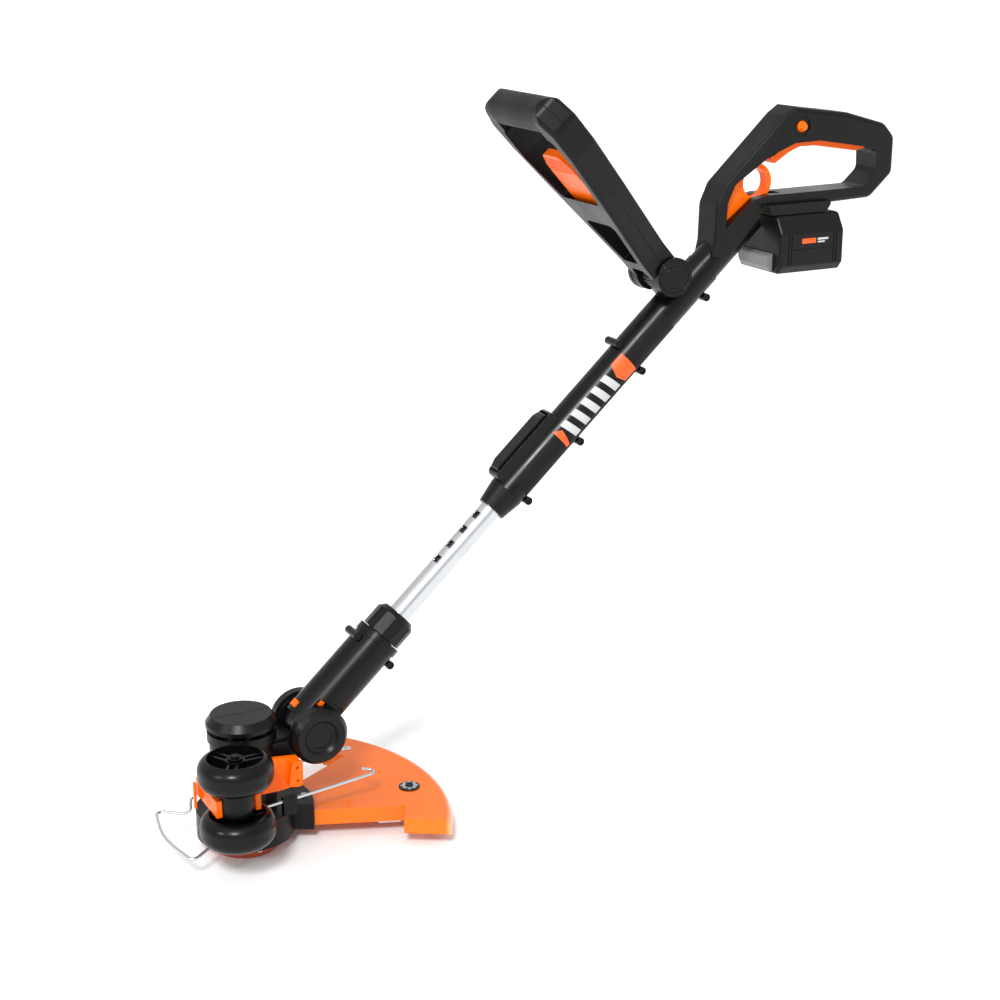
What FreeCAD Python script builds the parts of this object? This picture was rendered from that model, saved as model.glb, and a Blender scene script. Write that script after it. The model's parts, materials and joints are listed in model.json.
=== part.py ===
"""Cordless string trimmer and edger: a parametric assembly of named pieces.

Frame: +Z up, origin on the motor axis at the underside of the spool cover,
+X from the cutting head towards the rear handle. The shaft lies in the XZ plane.
Pieces along the shaft are drawn lying down, X along the shaft and Z square to it,
and then turned up by the shaft angle about the foot of the shaft line.
"""
import FreeCAD, Part
import os
import re
from math import cos, tan

import Sketcher

# All lengths in millimetres and angles in degrees. A size in quotes follows from sizes above it.
SIZES = {
    # clearances
    "fit": 0.05, "gap": 0.4, "screw_r": 1.5, "screw_bore_r": 1.55, "screw_head_r": 2.8,
    "screw_seat_r": 2.9,
    # motor, its housing and cap
    "motor_r": 25, "motor_low": 48, "motor_top": 106, "rotor_r": 2.5,
    "housing_r": 31, "housing_wall": 2.5, "housing_top": 112,
    "cap_r": 33.9, "cap_rim_z": 130, "cap_top": 137, "cap_top_r": 29, "cap_wall": 2.5,
    "cap_slot_low": 121.5, "cap_slot_high": 126,
    # lower housing that carries the guard
    "mount_r": 47, "mount_low": 14, "mount_top": 41, "mount_roof": 4,
    "lobe_r": 66, "lobe_angle": 62, "cavity_r": 41,
    # guard
    "guard_r": 200, "guard_top": 31, "guard_low": 15, "guard_wall": 3, "guard_step_r": 154,
    "guard_turn": 4, "guard_angle": 70, "guard_inner_angle": 50,
    "tongue_r": 50, "tongue_angle": 44, "guard_screw_r": 58, "rivet_radius_at": 166, "rivet_r": 4,
    "washer_r": 8.6, "rivet_cap_r": 10.5, "guard_edge_r": 10,
    # cutting head
    "cover_r": 37.5, "cover_top": 13, "spool_r": 35, "spool_core_r": 19, "hub_r": 8,
    "driver_r": 24, "driver_top": 34,
    # edging wheels
    "wheel_x": -32, "wheel_y": -72, "wheel_r": 35, "wheel_width": 30, "wheel_gap": 26,
    "wheel_low": 43, "wheel_bead": 12, "wheel_hub_r": 9, "wheel_dish_r": 26, "wheel_floor": 5,
    "axle_r": 4, "spacer_r": 16.5,
    # orange wheel carrier
    "carrier_back": -36, "carrier_wall": 5, "carrier_low": 66, "carrier_top": 100,
    "carrier_left": -57, "carrier_right": 47, "carrier_arm_top": 90,
    # sliding wire guard
    "wire_r": 1.6, "wire_leg_y": 33.5, "wire_front_x": -83, "wire_corner_x": -72,
    "wire_corner_y": 57, "wire_front_z": 25, "wire_rise_x": -44, "wire_rise_z": 46,
    "wire_tail_x": 121, "wire_tail_z": 61, "clip_x": 26, "clip_long": 14,
    # head pivot
    "pivot_x": 68, "pivot_z": 110, "pivot_pin_r": 5, "tongue_half": 17, "boss_r": 20,
    "cheek_r": 25, "cheek_wall": 3.2, "knob_r": 28, "knob_half": 35, "knob_dish_r": 17.5,
    # shaft line and neck
    "shaft_angle": 42.5, "shaft_rise": 6, "sleeve_r": 22.5, "saddle_r": 33, "sleeve_top": 104,
    "flange_r": 23.5, "flange_top": 110, "sleeve_boss_at": 95, "boss_rod_r": 4, "boss_half": 11,
    "button_at": 8, "button_long": 7, "button_half": 5, "button_low": 7, "button_bar_at": 24,
    "button_travel": 3,
    "nut_low": 111, "nut_top": 138, "nut_r": 21, "nut_face_r": 16, "collet_r": 14.5,
    # telescopic tube
    "tube_r": 11, "tube_wall": 1.3, "tube_low": 40, "tube_top": 480,
    "notch_first": 203, "notch_pitch": 19.2, "notch_long": 8, "notch_depth": 2.2,
    # outer tube, its collar and labels
    "outer_r": 18, "outer_wall": 2.6, "collar_low": 275, "outer_low": 298, "outer_top": 600,
    "collar_r": 14.5, "boss_drop": "=outer_r + 2.5",
    "label_low": 308, "label_top": 533, "label_thick": 0.4, "label_angle": 78, "label_droop": 8,
    # height latch on the outer tube
    "latch_low": 300, "latch_top": 385, "latch_half": 9.5, "latch_lever_half": 7,
    "latch_high": "=outer_r + 13", "latch_seat": "=outer_r + 9", "latch_pin_at": 374,
    "latch_pin_up": "=outer_r + 6", "pawl_at": 318,
    # front loop handle
    "hub_at": 562, "hub_barrel_r": 15.5, "hub_up": "=outer_r + hub_barrel_r", "hub_half": 12,
    "loop_bolt_r": 4, "loop_depth": 31, "arm_end_r": 19, "arm_end_half": 23.5,
    "loop_top": 274, "bar_low": 243,
    "loop_half": 63, "grip_half": 42, "core_half_deep": 9, "web_low": 122, "web_top": 152,
    "yoke_low": "=hub_up + 21.5", "yoke_top": "=hub_up + 32.5",
    "loop_knob_r": 19.5, "loop_knob_thick": 5,
    "loop_edge_r": 5, "loop_lever_half": 27, "loop_lever_top": 209, "loop_lever_at": 552,
    "loop_lever_pin_up": 138,
    # rear handle, controls and battery
    "handle_drawn_at": 600, "handle_half": 17, "handle_edge_r": 5, "spine_edge_r": 3.5,
    "spine_half": 17.6, "handle_tube_r": "=outer_r - 1", "handle_tube_top": 672,
    "lever_half": 6, "ring_x": 562, "ring_z": 602, "ring_r": 19.5, "ring_hole_r": 14.5,
    "feed_pin_x": 531, "feed_pin_z": 556, "small_pin_r": 2,
    "trigger_half": 7, "trigger_pin_x": 690, "trigger_pin_z": 636,
    "lock_x": 609, "lock_z": 656, "lock_r": 5.6, "lock_proud": 3.4,
    "battery_low": 512, "battery_top": 570, "battery_front": 574, "battery_back": 652,
    "battery_half": 38, "battery_shoulder": 553, "battery_top_half": 28, "battery_wall": 1.6,
    "battery_edge_r": 3, "battery_parting": 536,
    "cell_r": 9, "cell_long": 65, "rail_half": 12, "rail_head_half": 16, "rail_step": 574,
    "rail_top": 577, "dock_front": 566, "dock_back": 643, "dock_half": 25, "dock_top": 581,
    "battery_latch_half": 24, "battery_latch_low": 514, "battery_latch_top": 532,
    "battery_latch_front": 567,
}

document = FreeCAD.newDocument("StringTrimmer")
sheet = document.addObject("Spreadsheet::Sheet", "Sizes")
for row, (name, number) in enumerate(SIZES.items(), start=1):
    sheet.set(f"A{row}", name)
    sheet.set(f"B{row}", str(number))
    sheet.setAlias(f"B{row}", name)
document.recompute()

nodes = []
BIG = 2000


# ---------------------------------------------------------------- drawing helpers

def sized(text):
    """Point every size name in an expression at the sheet."""
    return re.sub(
        r"[a-z][a-z_]+", lambda word: "Sizes." + word[0] if word[0] in SIZES else word[0], str(text)
    )


def value(text):
    """The number that an expression gives now."""
    return float(sheet.evalExpression(sized(text)))


def bind(item, **properties):
    """Bind an object's properties to expressions of the sheet's sizes."""
    for name, text in properties.items():
        item.setExpression(name, sized(text))
    return item


def move(item, x=0, y=0, z=0):
    """Bind an object's place."""
    for axis, text in zip("xyz", (x, y, z)):
        item.setExpression("Placement.Base." + axis, sized(text))
    return item


def block(x, y, z):
    """A box between the (low, high) pairs of three axes."""
    item = document.addObject("Part::Box", "Block")
    sides = [f"({high}) - ({low})" for low, high in (x, y, z)]
    bind(item, Length=sides[0], Width=sides[1], Height=sides[2])
    return move(item, x[0], y[0], z[0])


TURNS = {
    "x": FreeCAD.Rotation(FreeCAD.Vector(0, 1, 0), 90),
    "y": FreeCAD.Rotation(FreeCAD.Vector(1, 0, 0), -90),
    "z": FreeCAD.Rotation(),
}


def along(item, axis, low, centre):
    """Lay an upright round solid along an axis from its low end, about a centre line."""
    item.Placement = FreeCAD.Placement(FreeCAD.Vector(), TURNS[axis])
    place = {"x": (low, *centre), "y": (centre[0], low, centre[1]), "z": (*centre, low)}[axis]
    return move(item, *place)


def rod(radius, axis, low, high, centre=(0, 0)):
    """A cylinder along an axis."""
    item = document.addObject("Part::Cylinder", "Rod")
    bind(item, Radius=radius, Height=f"({high}) - ({low})")
    return along(item, axis, low, centre)


def cone(low_radius, high_radius, axis, low, high, centre=(0, 0)):
    """A tapered rod along an axis."""
    item = document.addObject("Part::Cone", "Taper")
    bind(item, Radius1=low_radius, Radius2=high_radius, Height=f"({high}) - ({low})")
    return along(item, axis, low, centre)


def sector(radius, low, high, start, angle):
    """A slice of an upright cylinder about the motor axis."""
    item = document.addObject("Part::Cylinder", "Slice")
    bind(item, Radius=radius, Height=f"({high}) - ({low})", Angle=angle)
    item.Placement = FreeCAD.Placement(
        FreeCAD.Vector(), FreeCAD.Rotation(FreeCAD.Vector(0, 0, 1), 1)
    )
    item.setExpression("Placement.Rotation.Angle", sized(start))
    return move(item, 0, 0, low)


def fuse(*shapes):
    """Join shapes into one solid."""
    item = document.addObject("Part::MultiFuse", "Joined")
    item.Shapes = list(shapes)
    return item


def cut(base, *tools):
    """Take tools away from a shape."""
    item = document.addObject("Part::Cut", "Cut")
    item.Base = base
    item.Tool = tools[0] if len(tools) == 1 else fuse(*tools)
    return item


def common(first, second):
    """Keep what two shapes share."""
    item = document.addObject("Part::Common", "Shared")
    item.Base = first
    item.Tool = second
    return item


def group(*shapes):
    """Keep separate solids together as one piece of the list."""
    item = document.addObject("Part::Compound", "Group")
    item.Links = list(shapes)
    return item


def ring(outer, inner, axis, low, high, centre=(0, 0)):
    """A plain tube along an axis."""
    return cut(
        rod(outer, axis, low, high, centre),
        rod(inner, axis, f"({low}) - 1", f"({high}) + 1", centre),
    )


def origin_plane(body, role):
    """One of a body's own origin planes."""
    return next(item for item in body.Origin.OriginFeatures if item.Role == role)


PLANES = {
    "XY": ("XY_Plane", "z", lambda p: (p.x, p.y)),
    "XZ": ("XZ_Plane", "y", lambda p: (p.x, p.z)),
    "YZ": ("YZ_Plane", "x", lambda p: (p.y, p.z)),
}


def pad(corners, plane, low, high):
    """A plate with a straight-sided outline; a corner's third entry rounds it."""
    role, axis, flatten = PLANES[plane]
    body = document.addObject("PartDesign::Body", "Plate")
    sketch = body.newObject("Sketcher::SketchObject", "Outline")
    sketch.AttachmentSupport = [(origin_plane(body, role), "")]
    sketch.MapMode = "FlatFace"
    places = [(value(corner[0]), value(corner[1])) for corner in corners]
    ends = [FreeCAD.Vector(u, v, 0) for u, v in places]
    for start, end in zip(ends, ends[1:] + ends[:1]):
        sketch.addGeometry(Part.LineSegment(start, end))
    for number, corner in enumerate(corners):
        following = (number + 1) % len(corners)
        sketch.addConstraint(Sketcher.Constraint("Coincident", number, 2, following, 1))
        for kind, text in zip(("DistanceX", "DistanceY"), corner):
            rule = Sketcher.Constraint(kind, -1, 1, number, 1, value(text))
            index = sketch.addConstraint(rule)
            sketch.setExpression(f"Constraints[{index}]", sized(text))
    feature = body.newObject("PartDesign::Pad", "Pad")
    feature.Profile = sketch
    feature.Reversed = plane == "XZ"
    bind(feature, Length=f"({high}) - ({low})")
    move(body, **{axis: low})
    document.recompute()
    for radius in sorted({corner[2] for corner in corners if len(corner) > 2}, key=str):
        chosen = [place for place, corner in zip(places, corners) if radius in corner[2:]]
        names = [
            f"Edge{number}"
            for number, edge in enumerate(feature.Shape.Edges, start=1)
            if FreeCAD.Vector(*flatten(edge.tangentAt(edge.FirstParameter)), 0).Length < 1e-6
            and any(
                (FreeCAD.Vector(*flatten(edge.firstVertex().Point), 0)
                 - FreeCAD.Vector(*place, 0)).Length < 1e-3
                for place in chosen
            )
        ]
        rounded = body.newObject("PartDesign::Fillet", "Round")
        rounded.Base = (feature, names)
        bind(rounded, Radius=radius)
        document.recompute()
        feature = rounded
    return body


def softened(item, radius, chosen):
    """Round the edges of a solid whose middle point passes a test."""
    document.recompute()
    soft = document.addObject("Part::Fillet", "Softened")
    soft.Base = item
    size = value(radius)
    soft.Edges = [
        (number, size, size)
        for number, edge in enumerate(item.Shape.Edges, start=1)
        if chosen(edge.valueAt((edge.FirstParameter + edge.LastParameter) / 2))
    ]
    return soft


def node(item, name):
    """Name a finished piece."""
    item.Label = name
    nodes.append(item)
    return item


def on_shaft(shape):
    """Turn a piece that was drawn lying down up onto the shaft line."""
    item = group(shape)
    item.Placement = FreeCAD.Placement(
        FreeCAD.Vector(), FreeCAD.Rotation(FreeCAD.Vector(0, -1, 0), 1)
    )
    item.setExpression("Placement.Rotation.Angle", sized("shaft_angle"))
    return move(
        item,
        x="pivot_x - shaft_rise * sin(shaft_angle)",
        z="pivot_z + shaft_rise * cos(shaft_angle)",
    )


def at_tube_top(shape):
    """Let a piece drawn for a tube that ends at handle_drawn_at ride along with the tube's end."""
    return move(
        group(shape),
        x="(outer_top - handle_drawn_at) * cos(shaft_angle)",
        z="(outer_top - handle_drawn_at) * sin(shaft_angle)",
    )


def half(shape, side):
    """The half of a shape on one side of the shaft plane: -1 near the wheels, +1 away."""
    return common(shape, block((-BIG, BIG), (min(side * BIG, 0), max(side * BIG, 0)), (-BIG, BIG)))


def mirror_rods(radius, axis, low, high, centre):
    """Two equal rods at plus and minus the given ends."""
    return (
        rod(radius, axis, low, high, centre),
        rod(radius, axis, f"-({high})", f"-({low})", centre),
    )


# ---------------------------------------------------------------- head: motor and housings

def motor_pieces():
    """The motor can, its moulded housing with the pivot yoke, and the vented cap."""
    can = cut(
        rod("motor_r", "z", "motor_low", "motor_top"),
        rod("rotor_r + fit", "z", "motor_low - 1", "motor_low + 8"),
    )
    node(can, "motor")

    shell = fuse(
        rod("housing_r", "z", "mount_top", "housing_top"),
        block(("housing_r - 6", "pivot_x - boss_r - 2"), ("-tongue_half", "tongue_half"),
              ("pivot_z - 26", "pivot_z + 1")),
    )
    cheeks = [
        fuse(
            rod("cheek_r", "y", low, high, ("pivot_x", "pivot_z")),
            block(("housing_r - 10", "pivot_x"), (low, high), ("pivot_z - 22", "pivot_z - 2")),
        )
        for low, high in (
            ("-tongue_half - gap - cheek_wall", "-tongue_half - gap"),
            ("tongue_half + gap", "tongue_half + gap + cheek_wall"),
        )
    ]
    braces = [
        block(("housing_r - 6", "pivot_x - boss_r - 2"), (low, high), ("pivot_z - 22", "pivot_z - 2"))
        for low, high in (
            ("-tongue_half - gap - cheek_wall", "-tongue_half"),
            ("tongue_half", "tongue_half + gap + cheek_wall"),
        )
    ]
    housing = cut(
        fuse(shell, *cheeks, *braces),
        rod("housing_r - housing_wall", "z", "mount_top + 3", "housing_top + 1"),
        rod("hub_r + 2", "z", "mount_top - 1", "mount_top + 4"),
        rod("pivot_pin_r", "y", "-40", "40", ("pivot_x", "pivot_z")),
    )
    node(housing, "motor_housing")

    dome = fuse(
        rod("cap_r - 1", "z", "housing_top", "cap_slot_low"),
        rod("cap_r - 4", "z", "cap_slot_low", "cap_slot_high"),
        rod("cap_r", "z", "cap_slot_high", "cap_rim_z"),
        cone("cap_r", "cap_top_r", "z", "cap_rim_z", "cap_top"),
    )
    hollow = fuse(
        rod("cap_r - 4 - cap_wall", "z", "housing_top - 1", "cap_rim_z"),
        cone("cap_r - 4 - cap_wall", "cap_top_r - 4", "z", "cap_rim_z", "cap_top - cap_wall"),
    )
    slots = [
        sector("cap_r + 1", "cap_slot_low", "cap_slot_high - 1.5", start, 24)
        for start in range(-160, 40, 34)
    ]
    mould_line = block(("-cap_top_r", "cap_top_r"), (-0.35, 0.35), ("cap_top - 0.6", "cap_top + 1"))
    node(cut(dome, hollow, mould_line, *slots), "motor_cap")


def lower_housing():
    """The black moulding under the motor: spool chamber, guard lobe and wire clips."""
    body = fuse(
        rod("mount_r", "z", "mount_low", "mount_top"),
        sector("lobe_r", "mount_low", "mount_top", "guard_turn - lobe_angle / 2", "lobe_angle"),
        *[
            block(("clip_x", "clip_x + clip_long"), (low, high), ("mount_top - 2", "mount_top + 16"))
            for low, high in (
                ("-wire_leg_y - 4", "-wire_leg_y + 3"), ("wire_leg_y - 3", "wire_leg_y + 4")
            )
        ],
    )
    tongue_slot = sector(
        "lobe_r + 5", "guard_top - guard_wall", "guard_top",
        "guard_turn - tongue_angle / 2", "tongue_angle",
    )
    slot = cut(tongue_slot, rod("tongue_r", "z", "guard_low", "guard_top + 1"))
    screw_holes = [
        rod("screw_bore_r", "z", "mount_low - 1", "mount_top + 1", spot) for spot in guard_screw_spots()
    ]
    node(
        cut(
            body,
            rod("cavity_r", "z", "mount_low - 1", "mount_top - mount_roof"),
            rod("hub_r + 2", "z", "mount_low", "mount_top + 1"),
            slot,
            *screw_holes,
            *wire_legs("wire_r + 0.3"),
        ),
        "guard_mount",
    )


def guard_screw_spots():
    """The two guard screws, either side of the guard's centre line."""
    return [
        (f"guard_screw_r * cos(guard_turn {turn})", f"guard_screw_r * sin(guard_turn {turn})")
        for turn in ("- 13", "+ 13")
    ]


# ---------------------------------------------------------------- guard, cutter and rivet

def guard_pieces():
    """The clear orange guard: a shallow tray with a wider outer rim, and what it carries."""
    outer_start = "guard_turn - guard_angle / 2"
    inner_start = "guard_turn - guard_inner_angle / 2"
    rim = common(
        softened(rod("guard_r", "z", "guard_low", "guard_top"), "guard_edge_r",
                 lambda point: point.z > value("guard_top") - 0.1),
        sector("guard_r + 1", "guard_low", "guard_top", outer_start, "guard_angle"),
    )
    tray = fuse(
        cut(rim, rod("guard_step_r", "z", "guard_low - 1", "guard_top + 1")),
        sector("guard_step_r + 1", "guard_low", "guard_top", inner_start, "guard_inner_angle"),
    )

    def hollow(radius, inner_radius, angle):
        """The space under a slice of the tray, one wall in from each of its straight edges."""
        shift = f"guard_wall / sin({angle} / 2)"
        item = sector(BIG / 4, "guard_low - 1", "guard_top - guard_wall",
                      f"guard_turn - {angle} / 2", angle)
        move(item, f"{shift} * cos(guard_turn)", f"{shift} * sin(guard_turn)", "guard_low - 1")
        disc = softened(rod(radius, "z", "guard_low - 2", "guard_top - guard_wall"),
                        "guard_edge_r - guard_wall",
                        lambda point: point.z > value("guard_top - guard_wall") - 0.1)
        band = cut(disc, rod(inner_radius, "z", "guard_low - 3", "guard_top + 1"))
        return common(item, band)

    tongue = cut(
        sector("lobe_r + 4", "guard_top - guard_wall", "guard_top",
               "guard_turn - tongue_angle / 2 + 0.3", "tongue_angle - 0.6"),
        rod("tongue_r + gap", "z", "guard_low", "guard_top + 1"),
    )
    shell = fuse(
        cut(
            tray,
            hollow("guard_r - guard_wall", "guard_step_r + guard_wall", "guard_angle"),
            hollow("guard_step_r + guard_wall + guard_edge_r", "lobe_r + 2", "guard_inner_angle"),
            rod("lobe_r + 0.1", "z", "guard_low - 1", "guard_top + 1"),
        ),
        tongue,
    )
    screw_holes = [
        rod("screw_bore_r", "z", "guard_low", "guard_top + 1", spot) for spot in guard_screw_spots()
    ]
    rivet_spot = ("rivet_radius_at * cos(-7)", "rivet_radius_at * sin(-7)")
    node(cut(shell, *screw_holes, rod("rivet_r / 2", "z", "guard_low", "guard_top + 1", rivet_spot)),
         "guard")

    screws = [
        fuse(
            rod("screw_r", "z", "guard_top - guard_wall - 4", "mount_top", spot),
            rod("3", "z", "mount_top", "mount_top + 2", spot),
        )
        for spot in guard_screw_spots()
    ]
    node(group(*screws), "guard_screws")

    wall_angle = "guard_turn - guard_inner_angle / 2"
    blade = block((0, 22), (0, 1.6), ("guard_low - 3", "guard_top - guard_wall - 1"))
    blade.Placement = FreeCAD.Placement(
        FreeCAD.Vector(), FreeCAD.Rotation(FreeCAD.Vector(0, 0, 1), 1)
    )
    blade.setExpression("Placement.Rotation.Angle", sized(wall_angle))
    move(
        blade,
        f"(guard_step_r - 26) * cos({wall_angle}) - (guard_wall + 0.02) * sin({wall_angle})",
        f"(guard_step_r - 26) * sin({wall_angle}) + (guard_wall + 0.02) * cos({wall_angle})",
        "guard_low - 3",
    )
    node(blade, "line_cutter")

    washer = rivet_washer()
    move(washer, rivet_spot[0], rivet_spot[1], "guard_top + 1")
    rivet = fuse(
        rod("rivet_r / 2", "z", "guard_top - guard_wall - 1", "guard_top + 3", rivet_spot),
        rod("rivet_r", "z", "guard_top + 2", "guard_top + 3.2", rivet_spot),
        rod("rivet_cap_r", "z", "guard_top", "guard_top + 1", rivet_spot),
        rod("rivet_r", "z", "guard_top - guard_wall - 2", "guard_top - guard_wall", rivet_spot),
    )
    node(cut(rivet, rod("1.2", "z", "guard_top + 2.4", "guard_top + 4", rivet_spot)), "guard_rivet")


def rivet_washer():
    """A toothed lock washer: a disc with notches patterned round its rim."""
    body = document.addObject("PartDesign::Body", "Washer")
    disc_sketch = body.newObject("Sketcher::SketchObject", "DiscOutline")
    disc_sketch.AttachmentSupport = [(origin_plane(body, "XY_Plane"), "")]
    disc_sketch.MapMode = "FlatFace"
    for number, (radius, text) in enumerate(
        ((value("washer_r"), "washer_r"), (value("rivet_r / 2 + 0.1"), "rivet_r / 2 + 0.1"))
    ):
        disc_sketch.addGeometry(Part.Circle(FreeCAD.Vector(), FreeCAD.Vector(0, 0, 1), radius))
        disc_sketch.addConstraint(Sketcher.Constraint("Coincident", number, 3, -1, 1))
        index = disc_sketch.addConstraint(Sketcher.Constraint("Radius", number, radius))
        disc_sketch.setExpression(f"Constraints[{index}]", sized(text))
    disc = body.newObject("PartDesign::Pad", "Disc")
    disc.Profile = disc_sketch
    disc.Length = 1
    notch_sketch = body.newObject("Sketcher::SketchObject", "NotchOutline")
    notch_sketch.AttachmentSupport = [(origin_plane(body, "XY_Plane"), "")]
    notch_sketch.MapMode = "FlatFace"
    place = FreeCAD.Vector(value("washer_r"), 0, 0)
    notch_sketch.addGeometry(Part.Circle(place, FreeCAD.Vector(0, 0, 1), 1.9))
    notch_sketch.addConstraint(Sketcher.Constraint("PointOnObject", 0, 3, -1))
    reach = notch_sketch.addConstraint(Sketcher.Constraint("DistanceX", -1, 1, 0, 3, place.x))
    notch_sketch.setExpression(f"Constraints[{reach}]", sized("washer_r"))
    notch_sketch.addConstraint(Sketcher.Constraint("Radius", 0, 1.9))
    notch = body.newObject("PartDesign::Pocket", "Notch")
    notch.Profile = notch_sketch
    notch.Type = 1
    notch.Reversed = True
    document.recompute()
    pattern = body.newObject("PartDesign::PolarPattern", "Notches")
    pattern.Originals = [notch]
    pattern.Axis = (origin_plane(body, "Z_Axis"), [""])
    pattern.Angle = 360
    pattern.Occurrences = 8
    body.Tip = pattern
    document.recompute()
    return node(body, "rivet_washer")


# ---------------------------------------------------------------- cutting head

def cutting_head():
    """The rotor shaft, line spool, its spring and winding, and the cover with its eyelets."""
    node(rod("rotor_r", "z", "6", "motor_low + 7"), "rotor_shaft")
    node(
        cut(
            fuse(
                rod("driver_r", "z", "driver_top - 4", "driver_top"),
                rod("hub_r", "z", "cover_top - 1", "driver_top + 4"),
            ),
            rod("rotor_r", "z", "0", "motor_low"),
        ),
        "spool_driver",
    )
    bobbin = cut(
        fuse(
            rod("spool_core_r", "z", "cover_top", "driver_top - 6"),
            rod("spool_r", "z", "cover_top", "cover_top + 2"),
            rod("spool_r", "z", "driver_top - 8", "driver_top - 6"),
        ),
        rod("hub_r + 4", "z", "cover_top + 3", "driver_top"),
        rod("hub_r + 0.1", "z", "0", "driver_top"),
    )
    node(bobbin, "line_spool")
    node(ring("spool_r - 3", "spool_core_r + 0.1", "z", "cover_top + 2.1", "driver_top - 8.1"),
         "line_winding")
    node(ring("hub_r + 3", "hub_r + 1.6", "z", "cover_top + 3.1", "driver_top - 4.1"),
         "spool_spring")
    shell = fuse(
        cone("cover_r - 6", "cover_r", "z", "0", "cover_top - 5"),
        rod("cover_r", "z", "cover_top - 5", "cover_top + 6"),
    )
    hollow = fuse(
        cone("cover_r - 10", "cover_r - 2", "z", "4", "cover_top - 3"),
        rod("cover_r - 2", "z", "cover_top - 3", "cover_top + 7"),
    )
    eyelet_holes = mirror_rods("2.6", "y", "cover_r - 8", "cover_r + 1", ("0", "cover_top - 3.2"))
    cover = cut(fuse(cut(shell, hollow), rod("hub_r", "z", "3", "cover_top - 1")),
                rod("rotor_r", "z", "6", "cover_top"), *eyelet_holes)
    node(cover, "spool_cover")
    eyelets = [
        cut(outer, rod("1.3", "y", "-50", "50", ("0", "cover_top - 3.2")))
        for outer in mirror_rods("2.6", "y", "cover_r - 6", "cover_r + 0.8", ("0", "cover_top - 3.2"))
    ]
    node(group(*eyelets), "line_eyelets")


# ---------------------------------------------------------------- edging wheels

def wheel(low):
    """A moulded wheel: rounded tread, open face with three pairs of spokes, and a hub."""
    centre = ("wheel_x", "wheel_y")
    high = f"{low} + wheel_width"
    half_round = document.addObject("Part::Fillet", "Tread")
    blank = rod("wheel_r", "z", low, high, centre)
    document.recompute()
    half_round.Base = blank
    rims = [
        (number, value("wheel_bead"), value("wheel_bead"))
        for number, edge in enumerate(blank.Shape.Edges, start=1)
        if edge.Closed
    ]
    half_round.Edges = rims
    spokes = [
        block(("wheel_x + wheel_hub_r - 2", "wheel_x + wheel_dish_r + 1"),
              (f"wheel_y + {side} - 1.2", f"wheel_y + {side} + 1.2"),
              (f"{low} + wheel_floor", f"{high} - 4"))
        for side in (-4, 4)
    ]
    turned = []
    for angle in (0, 120, 240):
        for spoke in spokes:
            copy = document.addObject("Part::Feature", "Spoke")
            copy.Shape = turned_copy(spoke, angle)
            turned.append(copy)
    dish = cut(
        rod("wheel_dish_r", "z", f"{low} + wheel_floor", f"{high} + 1", centre),
        rod("wheel_hub_r", "z", low, f"{high} - 3", centre),
        *turned,
    )
    return cut(half_round, dish, rod("axle_r + fit", "z", f"{low} - 1", f"{high} + 1", centre))


def turned_copy(spoke, angle):
    """A spoke turned about the wheel's axle."""
    document.recompute()
    shape = spoke.Shape.copy()
    axle = FreeCAD.Vector(value("wheel_x"), value("wheel_y"), 0)
    shape.rotate(axle, FreeCAD.Vector(0, 0, 1), angle)
    return shape


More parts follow.
